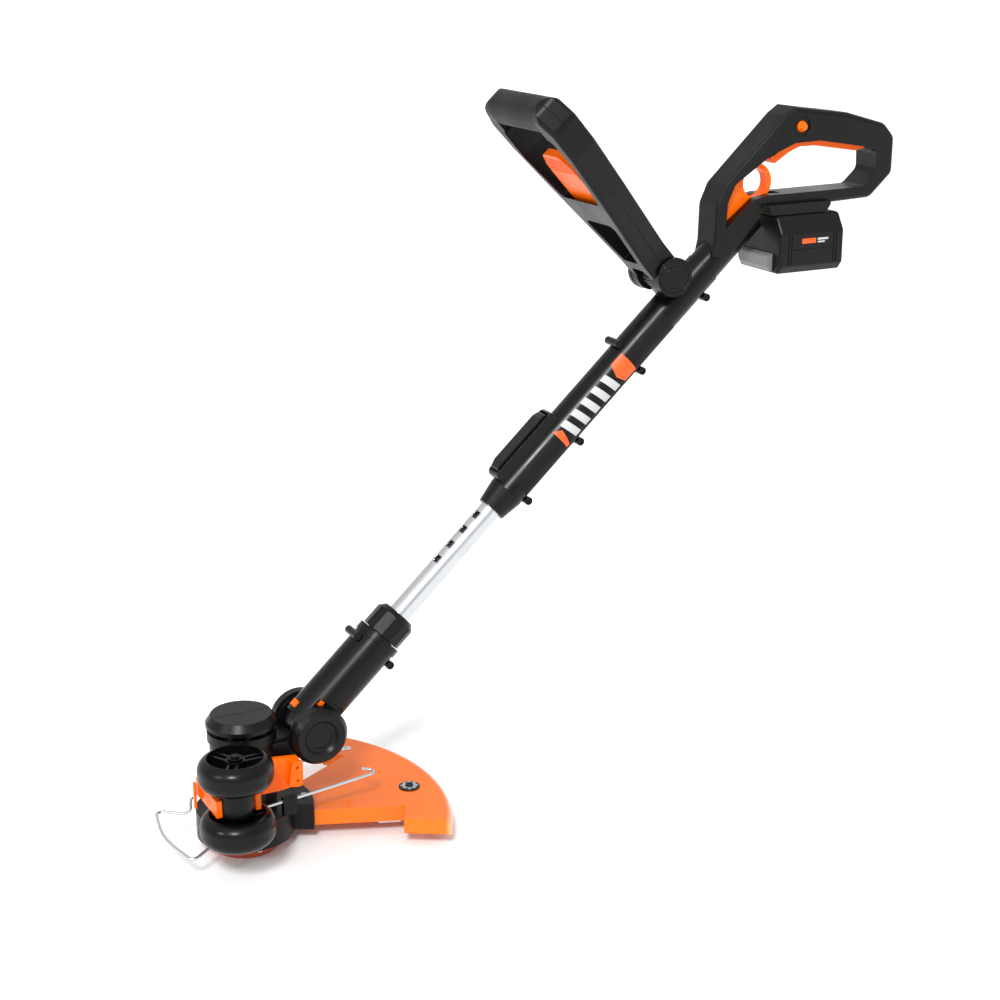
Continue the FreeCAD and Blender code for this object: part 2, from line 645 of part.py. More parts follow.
def wheel_pieces():
    """Two edging wheels on one axle, the spacer between them and the carrier that holds it."""
    centre = ("wheel_x", "wheel_y")
    upper = "wheel_low + wheel_width + wheel_gap"
    node(wheel("wheel_low"), "wheel_lower")
    node(wheel(upper), "wheel_upper")
    node(rod("axle_r", "z", "wheel_low - 3", f"{upper} + wheel_width + 1", centre), "wheel_axle")
    clips = [
        ring("axle_r + 3", "axle_r", "z", low, high, centre)
        for low, high in (
            ("wheel_low - 2.4", "wheel_low - 0.8"),
            (f"{upper} + wheel_width - 2.2", f"{upper} + wheel_width - 0.8"),
        )
    ]
    node(group(*clips), "axle_clips")
    spacer_low = "wheel_low + wheel_width + 0.5"
    spacer_top = "wheel_low + wheel_width + wheel_gap - 0.5"
    node(ring("spacer_r", "axle_r", "z", spacer_low, spacer_top, centre), "axle_spacer")

    arms = [
        block((low, high), ("wheel_y - 5", "carrier_back + 1"), (spacer_low, "carrier_arm_top"))
        for low, high in (
            ("wheel_x - spacer_r - 5", "wheel_x - spacer_r + 0.4"),
            ("wheel_x + spacer_r - 0.4", "wheel_x + spacer_r + 5"),
        )
    ]
    plate = pad(
        [
            ("carrier_left", "carrier_low + 12", 3), ("carrier_left + 14", "carrier_low", 5),
            ("carrier_right - 22", "carrier_low", 3), ("carrier_right", "carrier_low + 3", 4),
            ("carrier_right", "carrier_top - 3", 4), ("carrier_right - 26", "carrier_top", 6),
            ("carrier_left + 8", "carrier_top", 5), ("carrier_left", "carrier_top - 4", 3),
        ],
        "XZ", "carrier_back", "carrier_back + carrier_wall",
    )
    wing = cut(
        pad(
            [
                ("carrier_right - 17", "carrier_low + 5", 3), ("carrier_right - 3", "carrier_low + 3", 4),
                ("carrier_right - 3", "carrier_top - 4", 4), ("carrier_right - 13", "carrier_top - 4", 4),
            ],
            "XZ", "carrier_back - 7", "carrier_back + 1",
        ),
        *[
            rod("1.6", "y", "carrier_back - 8", "carrier_back - 3", ("carrier_right - 8", height))
            for height in ("carrier_low + 10", "carrier_top - 11")
        ],
    )
    ribs = [
        block((x, f"{x} + 2"), ("carrier_back - 3", "carrier_back + 1"),
              ("carrier_low + 2", "carrier_top - 6"))
        for x in ("wheel_x - spacer_r - 13", "wheel_x + spacer_r + 12", "wheel_x + spacer_r + 20")
    ]
    saddle = common(
        rod("housing_r + 4", "z", "carrier_low + 4", "carrier_top - 4"),
        block((-28, 20), (-60, -18), (0, 200)),
    )
    carrier = cut(
        fuse(plate, wing, saddle, *ribs, *arms),
        rod("housing_r + 0.05", "z", "0", "200"),
        rod("spacer_r + 0.02", "z", "0", "200", centre),
        rod("knob_r + 1", "y", "-60", "0", ("pivot_x", "pivot_z")),
    )
    node(carrier, "wheel_carrier")


# ---------------------------------------------------------------- wire guard

def wire_legs(radius):
    """The straight runs of the wire's legs, as cutting or clearance rods."""
    rise = "atan((wire_tail_z - wire_rise_z) / (wire_tail_x - wire_rise_x))"
    legs = []
    for side in (-1, 1):
        leg = document.addObject("Part::Cylinder", "Leg")
        bind(leg, Radius=radius, Height=320)
        leg.Placement = FreeCAD.Placement(
            FreeCAD.Vector(), FreeCAD.Rotation(FreeCAD.Vector(0, 1, 0), 80)
        )
        leg.setExpression("Placement.Rotation.Angle", sized(f"90 deg - {rise}"))
        move(leg, f"wire_rise_x - 80 * cos({rise})", f"{side} * wire_leg_y",
             f"wire_rise_z - 80 * sin({rise})")
        legs.append(leg)
    return legs


def wire_guard():
    """One bent wire: hooked tail, leg, drop, corner, bowed front, and the same back again."""
    half_path = [
        ("wire_tail_x - 8", "wire_leg_y - 9", "wire_tail_z + 3"),
        ("wire_tail_x + 1", "wire_leg_y - 7", "wire_tail_z + 1"),
        ("wire_tail_x", "wire_leg_y", "wire_tail_z"),
        ("wire_rise_x", "wire_leg_y", "wire_rise_z"),
        ("wire_rise_x", "wire_leg_y", "wire_front_z"),
        ("wire_corner_x", "wire_corner_y", "wire_front_z"),
    ]
    far = [FreeCAD.Vector(value(x), value(y), value(z)) for x, y, z in half_path]
    middle = FreeCAD.Vector(value("wire_front_x"), 0, value("wire_front_z"))
    near = [FreeCAD.Vector(point.x, -point.y, point.z) for point in reversed(far)]
    points = far + [middle] + near
    edges = []
    start = points[0]
    for before, corner, after in zip(points, points[1:], points[2:]):
        to_before = (before - corner).normalize()
        to_after = (after - corner).normalize()
        reach = 0.42 * min((before - corner).Length, (after - corner).Length)
        reach = min(reach, 9 if corner != middle else 40)
        enter = corner + to_before * reach
        leave = corner + to_after * reach
        half_turn = to_before.getAngle(to_after) / 2
        inward = (to_before + to_after).normalize()
        radius = reach * tan(half_turn)
        centre = corner + inward * (reach / cos(half_turn))
        edges.append(Part.LineSegment(start, enter).toShape())
        edges.append(Part.Arc(enter, centre - inward * radius, leave).toShape())
        start = leave
    edges.append(Part.LineSegment(start, points[-1]).toShape())
    path = Part.Wire(edges)
    section = Part.Wire(Part.Circle(points[0], points[1] - points[0], value("wire_r")).toShape())
    item = document.addObject("Part::Feature", "Wire")
    item.Shape = path.makePipeShell([section], True, True)
    node(item, "wire_guard")


# ---------------------------------------------------------------- pivot and neck

def pivot_pieces():
    """The pivot pin and the two dished knob covers of the head's tilt joint."""
    centre = ("pivot_x", "pivot_z")
    node(rod("pivot_pin_r", "y", "-tongue_half - 10", "tongue_half + 10", centre), "pivot_pin")
    inner = "tongue_half + gap + cheek_wall"
    knobs = []
    for side in (-1, 1):
        low, high = sorted((f"{side} * ({inner})", f"{side} * knob_half"), key=value)
        face, inside = (low, high) if side < 0 else (high, low)
        blank = fuse(
            rod("knob_r", "y", *sorted((inside, f"{side} * (knob_half - 5)"), key=value), centre),
            cone(*(("knob_r - 4", "knob_r") if side < 0 else ("knob_r", "knob_r - 4")), "y",
                 *sorted((f"{side} * (knob_half - 5)", face), key=value), centre),
        )
        knobs.append(cut(
            blank,
            cone(*(("knob_dish_r", "knob_dish_r - 3") if side < 0 else ("knob_dish_r - 3", "knob_dish_r")),
                 "y", *sorted((f"{side} * (knob_half - 3)", face), key=value), centre),
            rod("knob_dish_r - 6", "y", *sorted((f"{side} * (knob_half - 4)", face), key=value), centre),
            rod("pivot_pin_r", "y", *sorted((f"{side} * 1", f"{side} * (tongue_half + 10)"), key=value),
                centre),
        ))
    node(group(*knobs), "pivot_knobs")


def neck_pieces():
    """The clamshell neck between the tube and the head pivot, with its screws and collet."""
    pivot = ("0", "-shaft_rise")
    body = fuse(
        cut(rod("sleeve_r", "x", "0", "sleeve_top"), rod("saddle_r", "y", "-40", "40", pivot)),
        rod("flange_r", "x", "sleeve_top - 2", "flange_top"),
        common(rod("sleeve_r", "x", "0", "saddle_r + 2"),
               block((0, "saddle_r + 2"), ("-tongue_half", "tongue_half"), (-30, 30))),
        rod("boss_r", "y", "-tongue_half", "tongue_half", pivot),
        *[
            rod("boss_rod_r", "y", "-boss_half", "boss_half", ("sleeve_boss_at", up))
            for up in ("sleeve_r + 2.5", "-sleeve_r - 2.5")
        ],
    )
    screw_rods = [
        rod("screw_bore_r", "y", "-boss_half - 1", "boss_half - 3", ("sleeve_boss_at", up))
        for up in ("sleeve_r + 2.5", "-sleeve_r - 2.5")
    ]
    counterbores = [
        rod("screw_seat_r", "y", "-boss_half - 1", "-boss_half + 2.5", ("sleeve_boss_at", up))
        for up in ("sleeve_r + 2.5", "-sleeve_r - 2.5")
    ]
    button_pocket = tilt_button_shape("gap", "button_travel + gap")
    body = cut(
        body,
        rod("tube_r + fit", "x", "tube_low - 1", "flange_top + 1"),
        rod("collet_r", "x", "flange_top - 8", "flange_top + 1"),
        rod("pivot_pin_r + fit", "y", "-40", "40", pivot),
        button_pocket,
        *screw_rods,
        *counterbores,
    )
    for side, name in ((-1, "neck_near_shell"), (1, "neck_far_shell")):
        node(on_shaft(half(body, side)), name)
    screws = [
        fuse(
            rod("screw_r", "y", "-boss_half + 2.5", "boss_half - 4", ("sleeve_boss_at", up)),
            rod("screw_head_r", "y", "-boss_half + 0.5", "-boss_half + 2.5", ("sleeve_boss_at", up)),
        )
        for up in ("sleeve_r + 2.5", "-sleeve_r - 2.5")
    ]
    node(on_shaft(group(*screws)), "neck_screws")
    collet = cut(
        rod("collet_r", "x", "flange_top - 8", "nut_top - 4"),
        rod("tube_r + fit", "x", "flange_top - 9", "nut_top"),
        *[
            block(("flange_top + 4", "nut_top"), (-20, 20), (-0.8, 0.8)),
            block(("flange_top + 4", "nut_top"), (-0.8, 0.8), (-20, 20)),
        ],
    )
    node(on_shaft(collet), "neck_collet")
    node(on_shaft(tilt_button_shape("0", "0")), "tilt_button")


def tilt_button_shape(around, below):
    """The tilt release: a press pad on the neck joined to a bar that shows at both sides."""
    bar_side = f"tongue_half - 0.3 + 3 * ({around})"
    return fuse(
        block((f"button_at - button_long / 2 - ({around})", f"button_at + button_long / 2 + ({around})"),
              (f"-button_half - ({around})", f"button_half + ({around})"),
              (f"button_low - ({below})", f"sleeve_r + 0.8 + 10 * ({around})")),
        block((f"button_at - button_long / 2 - ({around})", f"button_bar_at + 3 + ({around})"),
              (f"-button_half - ({around})", f"button_half + ({around})"),
              (f"button_low - ({below})", f"button_low + 4 + ({around})")),
        block((f"button_bar_at - 3 - ({around})", f"button_bar_at + 3 + ({around})"),
              (f"-({bar_side})", bar_side),
              (f"button_low - ({below})", f"button_low + 5.5 + ({around})")),
    )


def lock_nut():
    """A twelve-sided clamping nut with a coned top."""
    faces = document.addObject("Part::Prism", "Faces")
    faces.Polygon = 12
    bind(faces, Circumradius="nut_r", Height="nut_top - nut_low")
    along(faces, "x", "nut_low", ("0", "0"))
    top = cone("nut_r + 3", "nut_face_r", "x", "nut_top - 9", "nut_top")
    lower = rod("nut_r + 1", "x", "nut_low", "nut_top - 9")
    shape = cut(
        common(faces, fuse(lower, top)),
        rod("collet_r + fit", "x", "nut_low - 1", "nut_top - 3.6"),
        rod("tube_r + gap", "x", "nut_low", "nut_top + 1"),
    )
    node(on_shaft(shape), "lock_nut")


# ---------------------------------------------------------------- telescopic tube

def tube_pieces():
    """The notched aluminium tube and the guide bush on its upper end."""
    notches = [
        block(
            (f"notch_first - notch_long / 2 + {step} * notch_pitch",
             f"notch_first + notch_long / 2 + {step} * notch_pitch"),
            (-20, 20), ("tube_r - notch_depth", "tube_r + 2"),
        )
        for step in range(9)
    ]
    tube = cut(
        rod("tube_r", "x", "tube_low", "tube_top"),
        rod("tube_r - tube_wall", "x", "tube_low - 1", "tube_top + 1"),
        *notches,
    )
    node(on_shaft(tube), "inner_tube")
    node(on_shaft(ring("outer_r - outer_wall - fit", "tube_r", "x", "tube_top - 28", "tube_top")),
         "tube_bush")


def outer_tube_pieces():
    """The clamshell outer tube with its screw bosses, the end collar and the side labels."""
    bosses = [("outer_low + 8", "-boss_drop"), (385, "-boss_drop"), (480, "-boss_drop"),
              (580, "-boss_drop"), (480, "boss_drop")]
    body = fuse(
        rod("outer_r", "x", "outer_low", "outer_top"),
        *[rod("boss_rod_r", "y", "-boss_half", "boss_half", place) for place in bosses],
    )
    body = cut(
        body,
        rod("outer_r - outer_wall", "x", "outer_low - 1", "outer_top + 1"),
        block(("pawl_at - 6", "pawl_at + 6"), (-5, 5), (8, 30)),
        *[rod("screw_bore_r", "y", "-boss_half - 1", "boss_half - 3", place) for place in bosses],
        *[rod("screw_seat_r", "y", "-boss_half - 1", "-boss_half + 2.5", place) for place in bosses],
    )
    for side, name in ((-1, "outer_tube_near_shell"), (1, "outer_tube_far_shell")):
        node(on_shaft(half(body, side)), name)
    screws = [
        fuse(
            rod("screw_r", "y", "-boss_half + 2.5", "boss_half - 4", place),
            rod("screw_head_r", "y", "-boss_half + 0.5", "-boss_half + 2.5", place),
        )
        for place in bosses
    ]
    node(on_shaft(group(*screws)), "tube_screws")
    collar = cut(
        fuse(
            cone("collar_r", "outer_r + 0.3", "x", "collar_low", "outer_low"),
            rod("outer_r - outer_wall - fit", "x", "outer_low", "outer_low + 8"),
        ),
        rod("tube_r + fit", "x", "collar_low - 1", "outer_low + 9"),
    )
    node(on_shaft(collar), "tube_collar")
    labels = []
    for start in ("-label_angle / 2 - label_droop", "180 - label_angle / 2 + label_droop"):
        band = cut(
            label_slice("outer_r + label_thick", start),
            rod("outer_r", "x", "label_low - 1", "label_top + 1"),
        )
        labels.append(band)
    node(on_shaft(group(*labels)), "tube_labels")


def label_slice(radius, start):
    """A slice of a cylinder along X, centred on the side of the tube."""
    item = document.addObject("Part::Cylinder", "Slice")
    bind(item, Radius=radius, Height="label_top - label_low", Angle="label_angle")
    around = FreeCAD.Rotation(FreeCAD.Vector(0, 1, 0), 90)
    spin = FreeCAD.Rotation(FreeCAD.Vector(0, 0, 1), value(start) + 90)
    item.Placement = FreeCAD.Placement(FreeCAD.Vector(), around.multiply(spin))
    return move(item, "label_low", 0, 0)


def latch_pieces():
    """The height latch: a base on the tube, a rocking lever with a pawl, its pawl."""
    base = cut(
        pad(
            [
                ("latch_low", "outer_r - 4", 2), ("latch_top", "outer_r - 4", 2),
                ("latch_top", "latch_seat", 6), ("latch_low", "latch_seat", 6),
            ],
            "XZ", "-latch_half", "latch_half",
        ),
        rod("outer_r + 0.02", "x", "0", "900"),
        block(("latch_low + 4", "latch_top - 4"), ("-latch_lever_half - gap", "latch_lever_half + gap"),
              (0, 60)),
        rod("small_pin_r", "y", "-20", "20", ("latch_pin_at", "latch_pin_up")),
    )
    node(on_shaft(base), "latch_base")
    lever = pad(
        [
            ("latch_low + 5", "outer_r + 3.4", 1), ("latch_top - 6", "outer_r + 3.4", 2),
            ("latch_top - 5", "latch_high - 3", 5), ("latch_top - 14", "latch_high", 5),
            ("latch_low + 14", "latch_high", 5), ("latch_low + 5", "latch_high - 3", 5),
        ],
        "XZ", "-latch_lever_half", "latch_lever_half",
    )
    pawl = block(("pawl_at - 3.5", "pawl_at + 3.5"), (-3.2, 3.2), ("tube_r + gap", "outer_r + 5"))
    lever = cut(
        fuse(lever, pawl),
        rod("small_pin_r + fit", "y", "-20", "20", ("latch_pin_at", "latch_pin_up")),
    )
    node(on_shaft(lever), "latch_lever")


# ---------------------------------------------------------------- front loop handle

def loop_pieces():
    """The tilting front loop: two shells, rubber grip, knobs, bolt and its squeeze lever."""
    centre = ("hub_at", "hub_up")
    front, back = "hub_at - loop_depth / 2", "hub_at + loop_depth / 2"

    def mirrored(points):
        """A closed outline that is the same on both sides of the shaft plane."""
        other = [(f"-({y})", z, *rest) for y, z, *rest in reversed(points)]
        return points + other

    outer = pad(
        mirrored([
            ("arm_end_half", "hub_up - 6"), ("arm_end_half + 2", "yoke_top", 20),
            ("loop_half - 15", "web_top + 4"), ("loop_half - 2", "loop_top - 60"),
            ("loop_half", "loop_top - 26", 12), ("loop_half - 14", "loop_top", 12),
        ]),
        "YZ", front, back,
    )
    envelope = pad(
        [(front, "hub_up - 30"), (back, "hub_up - 30"), (back, "loop_top", 14), (front, "loop_top", 14)],
        "XZ", "-loop_half - 1", "loop_half + 1",
    )
    faces = value(front), value(back)
    outer = common(
        softened(outer, "loop_edge_r",
                 lambda point: min(abs(point.x - face) for face in faces) < 0.1
                 and point.z > value("yoke_low")),
        envelope,
    )
    foot = pad(
        mirrored([("hub_half + gap", "hub_up - 30"), ("hub_half + gap", "yoke_low", 5)]),
        "YZ", f"{front} - 1", f"{back} + 1",
    )
    lower_window = pad(
        mirrored([("hub_half + 1", "yoke_top", 4), ("loop_half - 36", "web_low", 7)]),
        "YZ", f"{front} - 1", f"{back} + 1",
    )
    hand_window = pad(
        mirrored([("loop_half - 28", "web_top", 7), ("loop_half - 14", "bar_low - 40", 20),
                  ("loop_half - 15", "bar_low", 12)]),
        "YZ", f"{front} - 1", f"{back} + 1",
    )
    ends = [
        rod("arm_end_r", "y", low, high, centre)
        for low, high in (("-arm_end_half", "-hub_half - gap"), ("hub_half + gap", "arm_end_half"))
    ]
    grip_zone = block((f"{front} - 1", f"{back} + 1"), ("-grip_half", "grip_half"),
                      ("bar_low - 1", "loop_top + 1"))
    core = block(("hub_at - core_half_deep", "hub_at + core_half_deep"),
                 ("-grip_half - 1", "grip_half + 1"), ("bar_low + 6", "loop_top - 8"))
    lever_slot = block(
        ("loop_lever_at - 5", "loop_lever_at + 13"),
        ("-loop_lever_half - gap", "loop_lever_half + gap"), ("loop_lever_pin_up - 7", "web_top + 1"),
    )
    trunnion_place = ("loop_lever_at + 4", "loop_lever_pin_up")
    body = fuse(
        cut(
            fuse(outer, *ends), foot, lower_window, hand_window, grip_zone, lever_slot,
            rod("loop_bolt_r + fit", "y", "-60", "60", centre),
            rod("loop_knob_r + 0.2", "y", "-60", "-arm_end_half", centre),
            rod("loop_knob_r + 0.2", "y", "arm_end_half", "60", centre),
            rod("small_pin_r + fit", "y", "-loop_lever_half - 5", "loop_lever_half + 5",
                trunnion_place),
        ),
        core,
    )
    split = "hub_at"
    slabs = (("loop_front_shell", (-BIG, split)), ("loop_back_shell", (split, BIG)))
    for name, span in slabs:
        piece = common(body, block(span, (-BIG, BIG), (-BIG, BIG)))
        node(on_shaft(piece), name)

    sleeve = pad(
        [
            (front, "bar_low", 12), (back, "bar_low", 12),
            (back, "loop_top", 14), (front, "loop_top", 14),
        ],
        "XZ", "-grip_half", "grip_half",
    )
    node(on_shaft(cut(sleeve, core)), "loop_grip")

    knobs = [
        rod("loop_knob_r", "y", low, high, centre)
        for low, high in (
            ("-arm_end_half - loop_knob_thick", "-arm_end_half"),
            ("arm_end_half", "arm_end_half + loop_knob_thick"),
        )
    ]
    bores = rod("loop_bolt_r + fit", "y", "-arm_end_half - 3", "arm_end_half + 3", centre)
    node(on_shaft(group(*[cut(knob, bores) for knob in knobs])), "loop_knobs")

    ribs = [
        block(("loop_lever_at - 1", "loop_lever_at + 0.9"), ("-loop_lever_half", "loop_lever_half"),
              (f"loop_lever_top - {drop}", f"loop_lever_top - {drop} + 1.3"))
        for drop in (7, 10, 13, 16, 19, 22)
    ]
    lever = pad(
        [
            ("-loop_lever_half", "loop_lever_pin_up - 4", 2),
            ("loop_lever_half", "loop_lever_pin_up - 4", 2),
            ("loop_lever_half - 2", "loop_lever_top - 16", 14),
            ("loop_lever_half - 12", "loop_lever_top", 8),
            ("-loop_lever_half + 12", "loop_lever_top", 8),
            ("-loop_lever_half + 2", "loop_lever_top - 16", 14),
        ],
        "YZ", "loop_lever_at", "loop_lever_at + 8",
    )
    trunnions = rod("small_pin_r", "y", "-loop_lever_half - 4", "loop_lever_half + 4",
                    trunnion_place)
    node(on_shaft(fuse(cut(lever, *ribs), trunnions)), "loop_lever")

    saddle = fuse(
        rod("hub_barrel_r", "y", "-hub_half", "hub_half", centre),
        block(("hub_at - 14", "hub_at + 14"), ("-hub_half + 2", "hub_half - 2"), (8, "hub_up")),
    )
    hub = cut(
        saddle,
        rod("outer_r + 0.02", "x", "0", "900"),
        rod("loop_bolt_r", "y", "-60", "60", centre),
        *[
            rod("1.3", "y", "-hub_half + 2", "hub_half - 2",
                (f"hub_at + (hub_barrel_r + 0.4) * cos({angle})",
                 f"hub_up + (hub_barrel_r + 0.4) * sin({angle})"))
            for angle in range(40, 221, 15)
        ],
    )
    node(on_shaft(hub), "loop_hub")
    node(on_shaft(rod("loop_bolt_r", "y", "-arm_end_half - 2", "arm_end_half + 2", centre)),
         "loop_bolt")


# ---------------------------------------------------------------- rear handle and controls

def handle_pieces():
    """The rear D-handle: clamshell halves, rubber spine, trigger, lock and feed lever."""
    front_edge = [
        (506, 533), (509, 546, 8), (510, 583, 16), (519, 603, 10), (588, 668, 12), (600, 676),
    ]
    outline = front_edge + [
        (667, 667), (714, 654, 14), (727, 640, 10), (727, 603, 10), (700, 579, 12),
        (648, 577), ("dock_back + 2", "dock_top"), ("dock_front", "dock_top"), (556, 562),
        (520, 532),
    ]
    spine_outline = front_edge + [
        (601, 669), (592, 663, 6), (524.5, 600, 6), (516, 582, 10), (514.5, 545, 8), (512, 534),
    ]

    def on_front(point):
        """Whether a point is on the long outer edge of the spine's side faces."""
        nearest = min(
            FreeCAD.Vector(point.x, point.z, 0).distanceToLineSegment(
                FreeCAD.Vector(*start[:2], 0), FreeCAD.Vector(*end[:2], 0)).Length
            for start, end in zip(front_edge, front_edge[1:])
        )
        return nearest < 2.5 and abs(point.y) > value("spine_half") - 0.1

    window = [
        (521, 560), (523, 586, 8), (531, 603, 8), (572, 629, 3), (602, 640, 12), (632, 641),
        (694, 631, 3), (704, 626, 7), (705, 606, 10), (688, 591, 10), (600, 590), (572, 590, 6),
        (556, 587, 8),
    ]
    plate = softened(
        pad(outline, "XZ", "-handle_half", "handle_half"), "handle_edge_r",
        lambda point: abs(point.y) > value("handle_half") - 0.1 and point.x > 605
        and not (point.x < 650 and point.z < 600),
    )
    body = fuse(plate, shaft_rod("handle_tube_r", "handle_drawn_at", "handle_tube_top"))
    feed_slot = pad(
        [(521, 548), (519, 562), (521, 588), (530, 605), (546, 620), (572, 627), (592, 612), (594, 572),
         (562, 560), (545, 548), (534, 543)],
        "XZ", "-lever_half - gap", "lever_half + gap",
    )
    trigger_slot = pad(
        [(574, 618), (574, 640), (604, 650), (630, 662), (700, 652), (702, 626), (632, 630)],
        "XZ", "-trigger_half - gap", "trigger_half + gap",
    )
    body = cut(
        body,
        pad(spine_outline, "XZ", "-40", "40"),
        pad(window, "XZ", "-40", "40"),
        shaft_rod("handle_tube_r - 3", "handle_drawn_at - 1", "handle_tube_top - 6"),
        feed_slot,
        trigger_slot,
        rod("lock_r + 0.3", "y", "-40", "40", ("lock_x", "lock_z")),
        rod("lock_r + 4", "y", "-40", "-handle_half + 1.2", ("lock_x", "lock_z")),
        rod("lock_r + 4", "y", "handle_half - 1.2", "40", ("lock_x", "lock_z")),
        *[rod("small_pin_r", "y", "-13", "13", place) for place in control_pin_places()],
        block((633, 665), (-9, 9), (650, 664)),
    )
    for side, name in ((-1, "rear_handle_near_shell"), (1, "rear_handle_far_shell")):
        node(at_tube_top(half(body, side)), name)
    spine = (
        cut(
            softened(pad(spine_outline, "XZ", "-spine_half", "spine_half"), "spine_edge_r", on_front),
            shaft_rod("handle_tube_r", "handle_drawn_at - 20", "handle_tube_top + 20"),
            shaft_rod("outer_r", "handle_drawn_at - 60", "handle_drawn_at + gap"),
        )
    )
    node(at_tube_top(spine), "spine_overmould")
    pins = [rod("small_pin_r", "y", "-12.8", "12.8", place) for place in control_pin_places()]
    latch_pin = rod("small_pin_r", "y", "-latch_half", "latch_half",
                    ("latch_pin_at", "latch_pin_up"))
    node(group(at_tube_top(group(*pins)), on_shaft(latch_pin)), "lever_pins")
    node(at_tube_top(block((634, 664), (-8.8, 8.8), (652, 663.8))), "power_switch")
    trigger_piece()
    feed_lever_piece()
    button = fuse(
        rod("lock_r", "y", "-handle_half + 0.5", "handle_half - 0.5", ("lock_x", "lock_z")),
        cone("lock_r - 2", "lock_r", "y", "-handle_half - lock_proud", "-handle_half + 0.5",
             ("lock_x", "lock_z")),
        cone("lock_r", "lock_r - 2", "y", "handle_half - 0.5", "handle_half + lock_proud",
             ("lock_x", "lock_z")),
    )
    node(at_tube_top(button), "lock_button")


def control_pin_places():
    """Where the trigger's pin and the feed lever's pin sit."""
    return [("trigger_pin_x", "trigger_pin_z"), ("feed_pin_x", "feed_pin_z")]


def shaft_rod(radius, low, high):
    """A cylinder on the shaft line, drawn in the upright frame."""
    item = document.addObject("Part::Cylinder", "ShaftRod")
    bind(item, Radius=radius, Height=f"({high}) - ({low})")
    item.Placement = FreeCAD.Placement(
        FreeCAD.Vector(), FreeCAD.Rotation(FreeCAD.Vector(0, 1, 0), 45)
    )
    item.setExpression("Placement.Rotation.Angle", sized("90 - shaft_angle"))
    return move(
        item,
        x=f"pivot_x - shaft_rise * sin(shaft_angle) + ({low}) * cos(shaft_angle)",
        z=f"pivot_z + shaft_rise * cos(shaft_angle) + ({low}) * sin(shaft_angle)",
    )


def trigger_piece():
    """The long paddle trigger, hinged at its back end."""
    paddle = pad(
        [
            (577, 626, 2), (583, 619, 3), (601, 630, 10), (614, 635, 10), (632, 635), (684, 627, 4),
            (696, 629, 2), (696, 640, 3), (684, 641), (660, 646, 2), (638, 646, 2), (634, 641.5),
            (604, 641, 6), (583, 627.5),
        ],
        "XZ", "-trigger_half", "trigger_half",
    )
    paddle = cut(paddle, rod("small_pin_r + fit", "y", "-20", "20", control_pin_places()[0]))
    node(at_tube_top(paddle), "trigger")


def feed_lever_piece():
    """The finger ring on its lever, hinged at the foot of the handle."""
    stem = pad(
        [
            ("feed_pin_x - 6", "feed_pin_z - 5", 2), ("feed_pin_x - 8", "feed_pin_z + 6"),
            ("feed_pin_x - 6", "feed_pin_z + 31"), ("ring_x - 18", "ring_z + 4"),
            ("ring_x", "ring_z - 12"), ("ring_x + 8", "ring_z - 18"),
            ("ring_x - 8", "ring_z - 21", 8), ("feed_pin_x + 6", "feed_pin_z - 4", 3),
        ],
        "XZ", "-lever_half", "lever_half",
    )
    ring_centre = ("ring_x", "ring_z")
    lever = cut(
        fuse(rod("ring_r", "y", "-lever_half", "lever_half", ring_centre), stem),
        rod("ring_hole_r", "y", "-20", "20", ring_centre),
        rod("small_pin_r + fit", "y", "-20", "20", control_pin_places()[1]),
    )
    node(at_tube_top(lever), "feed_lever")


# ---------------------------------------------------------------- battery

